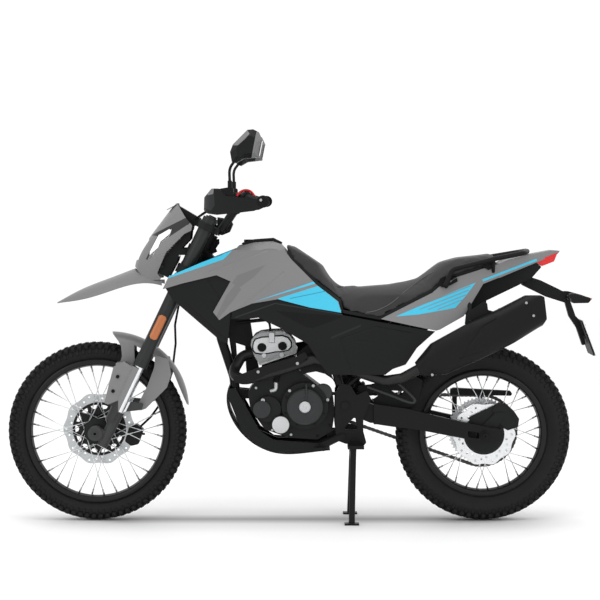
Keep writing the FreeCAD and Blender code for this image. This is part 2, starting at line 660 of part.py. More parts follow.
CALIPER_U, CALIPER_W = 63.0, 4.0
HOSE = [(65, 68, 30), (88, 76, 88), (97, 98, 136), (80, 114, 290), (54, 118, 368), (22, 118, 430), (-2, 125, 520), (-5, 135, 610),
        (-6, 135.5, 660), (-6, 132, 730), (-4, 140, 800), (12, 166, 836), (34, 196, 868), (47, 222, 900), (34, 248, 944)]
CABLE = [(-385, -58, 1092), (-366, -72, 1106), (-335, -104, 1127), (-290, -158, 1124), (-256, -196, 1132), (-250, -230, 1163)]


def front_caliper():
    """Caliper behind the axle, gripping the disc's rear edge, on a bracket from the far leg."""
    u, w = CALIPER_U, CALIPER_W
    body = slab([(u - 22, w - 34), (u - 30, w + 20), (u - 10, w + 42), (u + 22, w + 34), (u + 28, w - 22), (u + 6, w - 40)],
                FRONT_DISC_Y - 18, FRONT_DISC_Y + 24, 8)
    slot = across(AXLE_U, AXLE_W, FRONT_DISC_Y - 7.2, FRONT_DISC_Y + 7.2, FRONT_DISC_R + 6)
    arm = box(LEG_U + 4, u - 12, LEG_Y - 18, LEG_Y - 4, w - 12, w + 26)
    leg = cone((LEG_U, LEG_Y, -62), (LEG_U, LEG_Y, CHROME_W0), CASTING_R - 2.8, CASTING_R + 1.2)
    caliper = steer(fuse([body, arm]).cut([slot, leg]))
    export("front_caliper", caliper)
    return caliper


def hoses(caliper, controls):
    """The front brake hose from its master cylinder to the caliper, and the two bar cables."""
    hose = steer(tube(HOSE, 4, 45)).cut([caliper, controls])
    export("brake_hose", main_solid(hose))
    cable = tube(CABLE, 3, 30)
    cable = main_solid(cable.cut([controls, slab(DASH, -62, 62, 6)]))
    export("bar_cables", both(cable))


# Frame

SHOCK_TOP = (70.0, 630.0)


def frame(block):
    head0, head1 = LOW_CLAMP_W + 38, TOP_CLAMP_W - 6
    head = steer(rod((0, 0, head0), (0, 0, head1), 29))
    bore = steer(rod((0, 0, head0 - 5), (0, 0, head1 + 5), 16))
    hx, hz = STEER_X + 730 * SIN, FRONT_R + 730 * COS
    lx, lz = STEER_X + 745 * SIN, FRONT_R + 745 * COS
    members = [head]
    for s in (-1, 1):
        members.append(tube([(hx + 6, s * 16, hz - 8), (-200, s * 88, 800), (15, s * 90, 690), (118, s * 92, 575),
                             (138, s * 97, 500)], 15, 90))
        members.append(tube([(-240, s * 6, 520), (-232, s * 30, 455), (-180, s * 60, 320), (-90, s * 66, 282), (70, s * 72, 280),
                             (150, s * 100, 320)], 12, 50))
        members.append(across(STAND_X, STAND_Z, min(s * 76, s * 104), max(s * 76, s * 104), 6))
        plate = slab([(128, 300), (122, 350), (124, 470), (140, 505), (176, 500), (200, 462), (236, 480), (252, 450),
                      (224, 379), (224, 332), (235, 293), (228, 283), (160, 288)], s * 100, s * 110, 6)
        plate = plate.cut([slab([(150, 340), (204, 338), (196, 388)], s * 90, s * 120, 6)])
        members.append(plate)
    members.append(tube([(lx, 0, lz), (-290, 0, 660), (-244, 0, 520), (-240, 0, 480)], 17, 120))
    cross = [across(150, 322, -102, 102, 10), across(SHOCK_TOP[0], SHOCK_TOP[1], -90, 90, 11)]
    members += cross
    pivot = across(PIVOT_X, PIVOT_Z, -130, 130, 8.1)
    for s in (-1, 1):
        y0, y1 = min(s * 26, s * 32), max(s * 26, s * 32)
        members.append(slab([(-238, 482), (-240, 440), (-176, 446), (-176, 476)], y0, y1, 4))
        members.append(slab([(96, 300), (96, 330), (156, 332), (156, 312)], y0 + s * 14, y1 + s * 14, 4))
        members.append(rod((-150, s * 78, 770), (-150, s * 78, 852), 8))
    body = fuse(members).cut([bore, pivot, block])
    export("frame", body)
    return body


def subframe(body, silencer):
    rails = []
    for s in (-1, 1):
        rails.append(tube([(10, s * 89, 700), (180, s * 86, 726), (285, s * 86, 714), (470, s * 82, 812), (560, s * 74, 866),
                           (700, s * 58, 912)], 9, 60))
        rails.append(tube([(166, s * 97, 495), (330, s * 92, 640), (450, s * 83, 800)], 8, 60))
    rails.append(across(478, 815, -82, 82, 9))
    rails.append(across(640, 890, -64, 64, 9))
    rails.append(tube([(600, -70, 886), (602, -96, 820), (604, -150, 728)], 7, 20))
    rails = fuse(rails).cut([body, silencer])
    export("subframe", rails)
    return rails


def engine():
    case = slab([(-168, 508), (-192, 470), (-182, 408), (-130, 336), (-40, 306), (60, 300), (112, 330), (122, 400),
                 (116, 456), (60, 496), (10, 534), (-10, 556), (-150, 545)], -78, 78, 10)
    lower = []
    lower.append(across(14, 424, -104, -70, 84))
    lower.append(across(-118, 412, -100, -70, 46))
    lower.append(across(-141, 411, -108, -70, 31))
    lower.append(across(14, 424, 70, 92, 62))
    lower.append(across(14, 424, -118, -100, 64))
    lower.append(across(14, 424, -122, -110, 20))
    lower.append(across(-74, 357, -110, -70, 32))
    lower.append(across(80, 470, -100, -70, 32))
    lower.append(across(OUTPUT_X, OUTPUT_Z, 60, CHAIN_Y - 4.5, 18))
    clear = slab(chain_points([16.0], 104), CHAIN_Y - 14, CHAIN_Y + 60)
    body = fuse([case] + lower).cut(clear)
    pinion = across(OUTPUT_X, OUTPUT_Z, CHAIN_Y - 15, CHAIN_Y + 6, 15)
    gear = toothed_disc(OUTPUT_X, OUTPUT_Z, OUTPUT_R - 6.3, OUTPUT_R - 10.5, 8, CHAIN_Y, 6.0, OUTPUT_TEETH, 0)
    whole = fuse([body, pinion, gear])
    export("engine", whole)
    lean = 6.0
    parts = []
    for i in range(7):
        zz = 568 + i * 12
        parts.append(box(-152, -18, -62, 62, zz, zz + 5))
    parts.append(box(-142, -28, -52, 52, 548, 650))
    barrel = fuse(parts)
    head = slab([(-172, 664), (-148, 682), (-61, 690), (-31, 664), (-12, 632), (-18, 612), (-152, 566)], -76, 76, 6)
    barrel = barrel.cut(head)
    plugs = [across(x, z, -82, -70, 15) for x, z in ((-141, 632), (-66, 640))]
    head = fuse([head] + plugs)
    export("cylinder_head", head)
    export("cylinder", main_solid(barrel.cut(whole)))
    return whole, head


def skid_plate():
    line = [V(-262, 488, 0), V(-268, 455, 0), V(-213, 322, 0), V(-152, 274, 0), V(-92, 252, 0), V(0, 250, 0), V(105, 262, 0)]
    strip = Part.Face(band(line, 4.0)).extrude(V(0, 0, 176))
    strip.rotate(V(0, 0, 0), V(1, 0, 0), 90)
    strip.translate(V(0, 88, 0))
    wall = slab([(-260, 485), (-265, 460), (-211, 325), (-150, 278), (-92, 257), (0, 255), (62, 261), (66, 288), (0, 292),
                 (-100, 300), (-150, 335), (-200, 425), (-236, 486)], -92, -88)
    export("skid_plate", fuse([strip, wall, mirror(wall)]))


PIPE = [(-150, -20, 612), (-214, -22, 600), (-250, -60, 535), (-205, -120, 518), (-60, -128, 560), (50, -128, 596),
        (205, -128, 548), (300, -128, 516), (362, -140, 526), (440, -170, 572)]


def exhaust(head):
    pipe = PIPE
    header = tube(pipe, 19, 45)
    silencer = muffler()
    export("exhaust_header", header.cut([head, silencer]))
    shield = slab([(-242, 532), (-154, 565), (-13, 606), (14, 624), (24, 604), (0, 578), (-111, 545), (-180, 512), (-240, 512)],
                  -157, -151, 8)
    posts = [across(-153, 540, -155, -138, 6), across(-13, 580, -155, -138, 6)]
    shield = fuse([shield] + posts).cut(tube(pipe, 19.4, 45))
    export("heat_shield", shield)
    return header, silencer


def muffler():
    rows = [(416, 562, 25, 28), (487, 597, 61, 46), (643, 674, 69, 54), (730, 716, 66, 54), (816, 765, 62, 52), (900, 808, 60, 48)]
    wires = []
    for x, z, h, w in rows:
        pts = []
        for a, b in ((-1, -1), (1, -1), (1, 1), (-1, 1)):
            pts.append(V(x - b * h * 0.42, -170 + a * w, z + b * h * 0.9))
        wires.append(rounded(pts, 0.75 * min(h, w)))
    body = loft(wires, True)
    limits = slab([(380, 500), (380, 720), (620, 860), (780, 824), (860, 823), (870, 742), (857, 718), (700, 480)], -240, -100, 6)
    whole = main_solid(body.common(limits)).cut(rod((846, -176, 760), (900, -178, 786), 19))
    export("muffler", whole)
    return whole


def bodywork(header, silencer, body, rails):
    top = slab([(-235, 987), (-224, 1000), (-165, 1011), (-102, 1015), (-70, 1004), (-48, 978), (-34, 949), (54, 862), (134, 800.5), (144.5, 764.5),
                (20, 800), (-100, 826), (-170, 846), (-245, 900)], -200, 200, 4)
    tank = top.common(side_body(PANEL + 0.3)).common(dome())
    tank = tank.cut([slab(SCOOP, -200, 200), body])
    cap = rod((-165, 0, 1000), (-165, 0, 1026), 42)
    tank = tank.cut([rod((-165, 0, 985), (-165, 0, 1030), 42.4)])
    hump = slab([(-232, 1003), (-170, 1021), (-100, 1026), (-60, 1006), (-100, 1003)], -46, 46, 3)
    lid = fuse([rod((-165, 0, 985.5), (-165, 0, 1020), 42), hump])
    tank = tank.cut(hump)
    export("fuel_cap", lid)
    export("fuel_tank", tank)
    grey = side_panel(SHROUD, 0, PANEL)
    export("shroud_right", grey)
    export("shroud_left", mirror(grey))
    scoop = side_panel(SCOOP, PANEL + GAP, PANEL)
    export("air_scoops", both(scoop))
    cover = side_panel(SIDE_COVER, PANEL + 0.3, PANEL)
    cover = cover.cut(slab([(x + 4, z) for x, z in SCOOP], -260, 0))
    fixings = [across(15, 690, -147, -98, 6), across(290, 716, -140, -90, 6)]
    cover = fuse([cover] + fixings).cut([body, rails])
    near = main_solid(cover.cut([silencer, header]))
    far = mirror(main_solid(cover))
    export("side_covers", Part.makeCompound([near, far]))
    return tank


def crown(rows, low):
    """Everything under a surface that rises to the middle: rows of x, half width, top."""
    grid = []
    for x, hw, top in rows:
        grid.append([V(x, -hw - 70, low), V(x, -hw - 20, top - 90), V(x, -hw * 0.62, top - 14), V(x, 0, top),
                     V(x, hw * 0.62, top - 14), V(x, hw + 20, top - 90), V(x, hw + 70, low)])
    return sheet_of(grid).extrude(V(0, 0, -400))


def dome():
    """The rounded top of the tank, wide in front and narrow at the seat."""
    return crown([(-330, 150, 985), (-235, 120, 1000), (-165, 112, 1018), (-80, 104, 1018), (0, 96, 960),
                  (80, 96, 900), (180, 96, 850)], 700)


SHROUD = [(-491, 847), (-469, 893), (-355, 941), (-239, 987), (-228, 984), (-60, 984), (-34, 950), (54, 862), (132, 800), (144, 761),
          (31, 780), (-83, 810), (-174, 795), (-252, 764), (-291, 736), (-313, 765), (-251, 874), (-301, 896), (-424, 867)]
SCOOP = [(-480, 850), (-424, 878), (-301, 910), (-238, 880), (-300, 765), (-280, 745), (-250, 770), (-262, 650), (-288, 662), (-458, 812)]
SIDE_COVER = [(-255, 766), (-174, 799), (-83, 814), (31, 784), (140, 762), (150, 752), (280, 728), (480, 694), (414, 636),
              (374, 576), (327, 560), (288, 530), (239, 490), (194, 487), (174, 467), (136, 458), (119, 510), (61, 591), (24, 650),
              (-64, 702), (-126, 732), (-151, 744), (-198, 738), (-262, 740)]
SEAT = [(-32, 950), (-46, 980), (-58, 1002), (-47, 1006), (72, 927), (192, 851), (209, 843), (318, 852), (422, 874), (456, 901), (503, 933),
        (567, 950), (645, 959), (700, 968), (706, 938), (649, 921), (560, 893), (493, 857), (469, 837), (281, 740), (148, 764),
        (137, 802), (57, 863)]
TAIL = [(285, 739), (470, 832), (493, 852), (560, 888), (649, 916), (706, 933), (745, 949), (804, 963), (904, 982), (934, 980),
        (927, 970), (844, 936), (653, 863), (583, 748), (497, 701), (482, 697)]


SEAT_EDGE = [(-46, 980), (-32, 950), (57, 863), (137, 802), (148, 764), (281, 740), (469, 837), (493, 857), (560, 893),
             (649, 921), (700, 936)]


def ribbon(points, low, high):
    """A polyline given a thickness: its offsets by low and by high, as one outline."""
    sides = []
    for offset in (low, high):
        row = []
        for i, (x, z) in enumerate(points):
            a, b = points[max(i - 1, 0)], points[min(i + 1, len(points) - 1)]
            run = V(b[0] - a[0], 0, b[1] - a[1]).normalize()
            row.append((x - run.z * offset, z + run.x * offset))
        sides.append(row)
    return sides[0] + sides[1][::-1]


def seat(tank, body, rails):
    """The cushion on its plastic base, and the air box under it between the side covers."""
    body_ = slab(SEAT, -160, 160, 6).common(side_body(0.5))
    top = crown([(-80, 70, 1012), (72, 90, 932), (200, 120, 850), (330, 124, 858), (430, 112, 882), (500, 104, 936),
                 (700, 92, 972), (760, 84, 980)], 620)
    base = slab(ribbon(SEAT_EDGE, -4, 8), -160, 160).common(side_body(4.6)).common(top)
    base = base.cut([tank, body, rails])
    export("seat", body_.common(top).cut(base))
    export("seat_base", main_solid(base))
    air = slab([(24, 700), (24, 798), (134, 762), (148, 758), (281, 733), (330, 758), (330, 700), (250, 676), (120, 680)], -60, 60, 6)
    mounts = [across(x, z, -92, 92, 6) for x, z in ((60, 716), (280, 712))]
    export("air_box", main_solid(fuse([air] + mounts).cut([tank, body, rails, base])))


def tail(rails):
    side = side_panel(TAIL, -1, PANEL)
    solid = side_body(-1).common(slab([(712, 934), (745, 949), (804, 963), (904, 982), (934, 980), (927, 970), (844, 936), (712, 884)], -200, 200))
    shell = fuse([side, mirror(side), solid] + posts([(560, 866)], 76, 113.5)).cut(rails)
    export("tail_cowl", shell)
    lamp = slab([(845, 942), (926, 974), (913, 942), (870, 925)], -50, 50).cut(shell)
    export("tail_lamp", lamp)
    under = slab([(655, 868), (705, 884), (843, 942), (868, 922), (834, 883), (785, 856), (669, 800), (672, 770), (622, 750), (588, 750)], -48, 48)
    arm = slab([(797, 857), (834, 884), (868, 873), (930, 843), (970, 822), (957, 791), (888, 813)], -24, 24, 5)
    drop = slab([(952, 812), (974, 806), (996, 744), (1016, 722), (1034, 640), (1022, 636), (1000, 700), (972, 742)], -14, 14, 3)
    holder = slab([(1008, 728), (1012, 729.5), (1058, 604), (1054, 602.5)], -84, 84)
    hug = across(REAR_X, REAR_R, -56, 56, 338).cut(across(REAR_X, REAR_R, -60, 60, 334))
    hug = hug.common(slab([(676, 740), (676, 600), (REAR_X, REAR_R), (356, 424), (300, 440), (300, 740)], -80, 80))
    post = slab([(634, 762), (664, 762), (672, 650), (640, 650)], -40, 40)
    fender = fuse([under, arm, drop, holder, hug, post]).cut([shell, lamp, rails])
    export("rear_fender", fender)
    plate = slab([(1012.4, 729.7), (1015.4, 730.8), (1064, 604), (1061, 603)], -90, 90)
    export("number_plate", plate.cut([holder, drop]))
    pods = []
    for s in (-1, 1):
        stalk = rod((965, s * 24.2, 812), (968, s * 80, 812), 8)
        pod = slab([(957, 829), (984, 828), (1042, 812), (1029, 795), (972, 794)], s * 78, s * 122, 8)
        pods.append(fuse([stalk, pod]))
    export("rear_indicators", Part.makeCompound(pods))
    rail = []
    for s in (-1, 1):
        rail.append(tube([(516, s * 137, 857), (540, s * 131, 916), (700, s * 116, 955), (800, s * 86, 973),
                          (818, s * 30, 978), (818, 0, 978)], 9, 30))
        rail.append(across(518, 856, min(s * 119.4, s * 137), max(s * 119.4, s * 137), 8))
        rail.append(tube([(690, s * 116, 953), (690, s * 105, 925), (690, s * 93, 905)], 6, 10))
    export("grab_rail", main_solid(fuse(rail).cut(shell)))


def rear_end():
    arm = [(132, 452), (233, 438), (283, 428), (383, 414), (483, 389), (572, 369), (677, 347), (724, 340), (728, 301), (658, 290),
           (579, 308), (408, 341), (333, 349), (247, 362), (140, 402)]
    arms = []
    for s in (-1, 1):
        outer = slab(arm, s * 88, s * 112, 6)
        arms.append(outer.cut(slab([(600, 335), (640, 328), (640, 306), (600, 312)], s * 80, s * 120, 4)))
    cross = box(262, 312, -90, 90, 356, 404)
    tube_ = across(PIVOT_X, PIVOT_Z, -98, 98, 24)
    front = []
    for s in (-1, 1):
        front.append(slab([(140, 452), (180, 452), (275, 424), (300, 404), (300, 360), (250, 362), (150, 402)], s * 62, s * 97, 6))
    blades = [a.cut(box(0, 262, -130, 130, 300, 520)) for a in arms]
    bridge = [box(262, 300, min(s * 62, s * 112), max(s * 62, s * 112), 362, 418) for s in (-1, 1)]
    pivot = across(PIVOT_X, PIVOT_Z, -130, 130, 8.1)
    chain_way = slab(chain_points([14.0], 104), CHAIN_Y - 13, CHAIN_Y + 13).cut(slab(chain_points([-14.0], 104), CHAIN_Y - 14, CHAIN_Y + 14))
    axle = across(REAR_X, REAR_R, -118, 118, AXLE_R)
    spacer = [across(REAR_X, REAR_R, CHAIN_Y - 2.7, 90, 16), across(REAR_X, REAR_R, -90, REAR_DISC_Y + 2.0, 16)]
    nuts = [across(REAR_X, REAR_R, 110, 122, 16), across(REAR_X, REAR_R, -122, -110, 16)]
    body = fuse([cross, tube_] + front + blades + bridge).cut([pivot, chain_way])
    body = fuse([body, axle] + spacer + nuts).cut(across(REAR_X, REAR_R, -130, 130, AXLE_HOLLOW))
    export("swingarm", body)
    bolt = fuse([across(PIVOT_X, PIVOT_Z, -116, 116, 8), across(PIVOT_X, PIVOT_Z, -118, -110.2, 14), across(PIVOT_X, PIVOT_Z, 110.2, 118, 14)])
    export("pivot_bolt", bolt)
    axis0, axis1 = (272, 0, 404), (SHOCK_TOP[0], 0, SHOCK_TOP[1])
    shock = [rod(axis0, axis1, 12)]
    n = 9
    for i in range(n):
        t = 0.24 + 0.6 * i / (n - 1)
        a = [p + (q - p) * t for p, q in zip(axis0, axis1)]
        b = [p + (q - p) * (t + 0.035) for p, q in zip(axis0, axis1)]
        shock.append(rod(a, b, 34))
    low = [p + (q - p) * 0.2 for p, q in zip(axis0, axis1)]
    high = [p + (q - p) * 0.9 for p, q in zip(axis0, axis1)]
    shock.append(rod(low, high, 25))
    shock.append(across(axis0[0], 414, -16, 16, 15))
    shock.append(across(axis1[0], axis1[2], -16, 16, 19))
    export("rear_shock", fuse(shock).cut([body, across(axis1[0], axis1[2], -20, 20, 11.05)]))
    guard = slab([(548, 470), (560, 475), (769, 463), (775, 452), (769, 446), (548, 450)], CHAIN_Y - 14, CHAIN_Y + 14, 4)
    guard = guard.cut(slab([(480, 466), (780, 466), (780, 400), (480, 400)], CHAIN_Y - 11, CHAIN_Y + 11))
    tabs = [box(x, x + 18, CHAIN_Y + 11, CHAIN_Y + 17, 340, 468) for x in (556, 650)]
    export("chain_guard", fuse([guard] + tabs).cut(body))
    caliper = slab([(690, 410), (717, 436), (738, 421), (777, 356), (748, 338), (722, 352), (700, 376)], REAR_DISC_Y - 18, REAR_DISC_Y + 18, 8)
    slot = across(REAR_X, REAR_R, REAR_DISC_Y - 7.2, REAR_DISC_Y + 7.2, REAR_DISC_R + 6)
    caliper = caliper.cut(slot)
    bracket = slab([(640, 300), (640, 338), (700, 398), (742, 400), (712, 352), (690, 300)], -87.7, -80, 8)
    bracket = bracket.cut(across(REAR_X, REAR_R, -95, -70, 16.1))
    export("rear_caliper", fuse([caliper, bracket]))


def feet():
    pegs = []
    for s in (-1, 1):
        peg = box(166, 224, min(s * 128, s * 220), max(s * 128, s * 220), 280, 292)
        arm = box(176, 214, min(s * 110.3, s * 130), max(s * 110.3, s * 130), 276, 296)
        pegs.append(fuse([peg, arm]))
    export("footpegs", Part.makeCompound(pegs))
    pedals = []
    for s in (-1, 1):
        y0, y1 = min(s * 111.4, s * 122), max(s * 111.4, s * 122)
        boss = across(150, 316, y0, y1, 9)
        arm = slab([(152, 328), (152, 306), (72, 266), (60, 276), (66, 286)], min(s * 114, s * 121), max(s * 114, s * 121), 4)
        pad = box(50, 84, min(s * 114, s * 160), max(s * 114, s * 160), 267, 279)
        pedals.append(fuse([boss, arm, pad]))
    export("foot_controls", Part.makeCompound(pedals))


def centre_stand():
    legs = []
    for s in (-1, 1):
        legs.append(tube([(STAND_X, s * 84, STAND_Z), (STAND_X - 2, s * 84, 230), (STAND_X - 8, s * 140, 3)], 11, 60))
        legs.append(box(STAND_X - 34, STAND_X + 18, min(s * 122, s * 162), max(s * 122, s * 162), 0, 6))
        legs.append(across(STAND_X, STAND_Z, s * 78 if s > 0 else -98.5, 98.5 if s > 0 else s * 78, 15))
    legs.append(across(STAND_X - 2, 232, -86, 86, 10))
    body = fuse(legs).cut(across(STAND_X, STAND_Z, -130, 130, 6.05))
    export("centre_stand", body)


front_wheel()
rear_wheel()
chain()
fork()
controls = handlebar()
hand_guards()
mirrors(controls)
beak()
headlamp()
front_mudguard()
caliper = front_caliper()
hoses(caliper, controls)
block, head = engine()
header, silencer = exhaust(head)
body = frame(block)
rails = subframe(body, silencer)
skid_plate()
tank = bodywork(header, silencer, body, rails)
seat(tank, body, rails)
tail(rails)
rear_end()
feet()
centre_stand()
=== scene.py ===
import math

import bmesh
import bpy
from mathutils import Matrix, Vector
from mathutils.bvhtree import BVHTree


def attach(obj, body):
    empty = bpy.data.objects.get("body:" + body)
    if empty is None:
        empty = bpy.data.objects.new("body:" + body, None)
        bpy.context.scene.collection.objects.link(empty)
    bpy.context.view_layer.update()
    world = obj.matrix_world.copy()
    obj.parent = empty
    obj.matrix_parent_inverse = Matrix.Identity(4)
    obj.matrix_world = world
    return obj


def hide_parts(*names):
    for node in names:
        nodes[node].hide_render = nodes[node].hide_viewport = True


# Looks of the dual sport motorcycle: metres, front wheel towards -X, +Z up.
# Shapes are written in millimetres, as in the part's source, and scaled once when a mesh is made.

MM = 0.001
FRONT_X, FRONT_R = -740.0, 325.0
REAR_X, REAR_R = 661.0, 318.0
RAKE = math.radians(25.5)
SIN, COS = math.sin(RAKE), math.cos(RAKE)
AXLE_LEAD, CLAMP_OFFSET = 41.5, 22.0
STEER_X = FRONT_X + (AXLE_LEAD + CLAMP_OFFSET) / COS
LEG_U, LEG_Y, LEG_HALF, CHROME_W = -CLAMP_OFFSET, 100.0, 24.0, 78.0
CHAIN_Y, PITCH = 73.0, 15.875
OUTPUT_X, OUTPUT_Z = 92.0, 418.0
SPROCKET_R = PITCH / 2 / math.sin(math.pi / 51)
OUTPUT_R = PITCH / 2 / math.sin(math.pi / 14)
FRONT_DISC_Y, REAR_DISC_Y = 60.0, -66.0
PLATE_Z, PLATE_HALF_W, PLATE_HALF_H = 667.0, 82.0, 56.0
SIDES = ((-1, "near"), (1, "far"))

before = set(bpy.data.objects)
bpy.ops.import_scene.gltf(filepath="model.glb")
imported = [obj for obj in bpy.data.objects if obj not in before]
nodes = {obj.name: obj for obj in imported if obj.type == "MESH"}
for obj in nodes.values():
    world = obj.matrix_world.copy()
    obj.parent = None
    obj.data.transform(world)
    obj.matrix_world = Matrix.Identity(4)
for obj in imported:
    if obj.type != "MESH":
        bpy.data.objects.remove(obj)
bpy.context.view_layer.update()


# Node trees

class Val:
    """A socket that Python's operators work on: each one adds a Math node."""

    def __init__(self, web, socket):
        self.web, self.socket = web, socket

    def __add__(self, other):
        return self.web.math("ADD", self, other)

    def __sub__(self, other):
        return self.web.math("SUBTRACT", self, other)

    def __rsub__(self, other):
        return self.web.math("SUBTRACT", other, self)

    def __mul__(self, other):
        return self.web.math("MULTIPLY", self, other)

    def __truediv__(self, other):
        return self.web.math("DIVIDE", self, other)

    def __rtruediv__(self, other):
        return self.web.math("DIVIDE", other, self)

    def __pow__(self, other):
        return self.web.math("POWER", self, other)

    def __gt__(self, other):
        return self.web.math("GREATER_THAN", self, other)

    def __lt__(self, other):
        return self.web.math("LESS_THAN", self, other)

    def __mod__(self, other):
        return self.web.math("FLOORED_MODULO", self, other)

    def __abs__(self):
        return self.web.math("ABSOLUTE", self)

    def __neg__(self):
        return self * -1.0

    __radd__ = __add__
    __rmul__ = __mul__

    def sin(self):
        return self.web.math("SINE", self)

    def cos(self):
        return self.web.math("COSINE", self)

    def floor(self):
        return self.web.math("FLOOR", self)


class Web:
    """Builds one node tree."""

    def __init__(self, tree):
        self.tree = tree

    def node(self, kind, settings=None, sockets=None):
        """Adds a node: its settings first, then the values or links of its sockets."""
        made = self.tree.nodes.new(kind)
        for key, value in (settings or {}).items():
            setattr(made, key, value)
        for key, value in (sockets or {}).items():
            target = made.inputs[key]
            if isinstance(value, Val):
                value = value.socket
            if isinstance(value, bpy.types.NodeSocket):
                self.tree.links.new(value, target)
            elif target.type == "RGBA":
                target.default_value = (*value[:3], 1.0)
            else:
                target.default_value = value
        return made

    def math(self, operation, *values):
        made = self.node("ShaderNodeMath", {"operation": operation}, dict(enumerate(values)))
        return Val(self, made.outputs[0])

    def vector(self, x, y, z):
        return self.node("ShaderNodeCombineXYZ", None, {"X": x, "Y": y, "Z": z}).outputs[0]

    def vector_math(self, operation, a, b):
        made = self.node("ShaderNodeVectorMath", {"operation": operation}, {0: a, 1: b})
        return made.outputs["Value"] if operation == "DISTANCE" else made.outputs[0]


class Finish(Web):
    """A material: one Principled surface and the patterns that vary it."""

    def __init__(self, name, **fixed):
        self.material = bpy.data.materials.new(name)
        self.material.use_nodes = True
        super().__init__(self.material.node_tree)
        self.tree.nodes.clear()
        sockets = {key.replace("_", " "): value for key, value in fixed.items()}
        self.skin = self.node("ShaderNodeBsdfPrincipled", None, sockets)
        self.node("ShaderNodeOutputMaterial", None, {"Surface": self.skin.outputs[0]})
        self.place = self.node("ShaderNodeTexCoord").outputs["Object"]
        self.axes = None

    def xyz(self):
        """The place on the object in millimetres, as three values."""
        if not self.axes:
            parts = self.node("ShaderNodeSeparateXYZ", None, {0: self.place})
            self.axes = [Val(self, parts.outputs[i]) * (1 / MM) for i in range(3)]
        return self.axes

    def noise(self, scale, detail=2.0, stretch=None):
        place = self.place
        if stretch:
            place = self.node("ShaderNodeMapping", None, {"Vector": place, "Scale": stretch}).outputs[0]
        made = self.node("ShaderNodeTexNoise", None, {"Vector": place, "Scale": scale, "Detail": detail})
        return Val(self, made.outputs["Fac"])

    def cells(self, scale):
        settings = {"feature": "DISTANCE_TO_EDGE"}
        made = self.node("ShaderNodeTexVoronoi", settings, {"Vector": self.place, "Scale": scale})
        return Val(self, made.outputs["Distance"])

    def mix(self, factor, a, b):
        made = self.node("ShaderNodeMix", {"data_type": "RGBA"}, {0: factor, 6: a, 7: b})
        return made.outputs[2]

    def colour(self, value):
        self.tree.links.new(value, self.skin.inputs["Base Color"])

    def vary(self, socket, value):
        self.tree.links.new(value.socket, self.skin.inputs[socket])

    def relief(self, height, distance, strength=1.0):
        sockets = {"Height": height, "Distance": distance, "Strength": strength}
        bump = self.node("ShaderNodeBump", None, sockets)
        self.tree.links.new(bump.outputs[0], self.skin.inputs["Normal"])

    def inside(self, corners):
        """1 on the inner side of every edge of an outline of (x, z) corners in millimetres, else 0."""
        x, _, z = self.xyz()
        pairs = list(zip(corners, corners[1:] + corners[:1]))
        turn = 1.0 if sum(a[0] * b[1] - b[0] * a[1] for a, b in pairs) > 0 else -1.0
        mask = 1.0
        for (x0, z0), (x1, z1) in pairs:
            side = (z - z0) * ((x1 - x0) * turn) - (x - x0) * ((z1 - z0) * turn)
            mask = (side > 0.0) * mask
        return mask

    def line(self, x0, z0, x1, z1, width):
        """1 along the middle of a straight line in millimetres, falling to 0 at half its width."""
        x, _, z = self.xyz()
        run = Vector((x1 - x0, z1 - z0))
        length = run.length
        run.normalize()
        along = (x - x0) * run.x + (z - z0) * run.y
        away = abs((z - z0) * run.x - (x - x0) * run.y)
        near = (along > 0.0) * (along < length)
        return self.math("MAXIMUM", 1.0 - away * (2.0 / width), 0.0) * near


CREASE_DEPTH, FOLD_DEPTH = 0.002, 0.0015


def srgb(*values):
    return [(v / 255 / 12.92) if v <= 10 else ((v / 255 + 0.055) / 1.055) ** 2.4 for v in values]


def shades(colour, spread):
    return [max(c * (1 - spread), 0) for c in colour], [min(c * (1 + spread), 1) for c in colour]


def coated(name, colour, rough, grain, depth, spread=0.12, creases=(), marks_and_painted_light=(), **fixed):
    """Plastic, coat or casting: slow tone changes, a fine grain, moulded creases and coloured marks, some of
    them painted shade and highlights.
    """
    f = Finish(name, **fixed)
    cloud = f.noise(5.0, 3.0)
    fine = f.noise(grain, 3.0)
    dark, light = shades(colour, spread)
    base = f.mix(cloud * 0.7 + fine * 0.3, dark, light)
    for corners, tint in marks_and_painted_light:
        base = f.mix(f.inside(corners), base, tint)
    f.colour(base)
    f.vary("Roughness", (cloud - 0.5) * 0.16 + (fine - 0.5) * 0.12 + rough)
    if not creases:
        f.relief(fine, depth)
        return f
    height = fine * (depth / CREASE_DEPTH)
    for crease in creases:
        height = height - f.line(*crease)
    f.relief(height, CREASE_DEPTH)
    return f


def brushed(name, colour, rough, grain, metal=1.0, depth=0.0001):
    """Bare or plated metal with fine wear."""
    f = Finish(name, Metallic=metal)
    lines = f.noise(grain, 4.0)
    cloud = f.noise(9.0, 2.0)
    dark, light = shades(colour, 0.2)
    f.colour(f.mix(lines * 0.6 + cloud * 0.4, dark, light))
    f.vary("Roughness", (lines - 0.5) * 0.25 + (cloud - 0.5) * 0.1 + rough)
    f.relief(lines, depth, 0.6)
    return f


# The paint's grey and blue with a darker tone of each, the darker grey being painted shade on the shroud's
# facets, the plastic's black and its shine

GREY = srgb(116, 116, 117)
FACET_SHADE = srgb(105, 105, 106)
BLUE = srgb(56, 182, 214)
DEEP_BLUE = srgb(38, 130, 160)
BLACK = srgb(22, 23, 23)
SHINE = 0.14


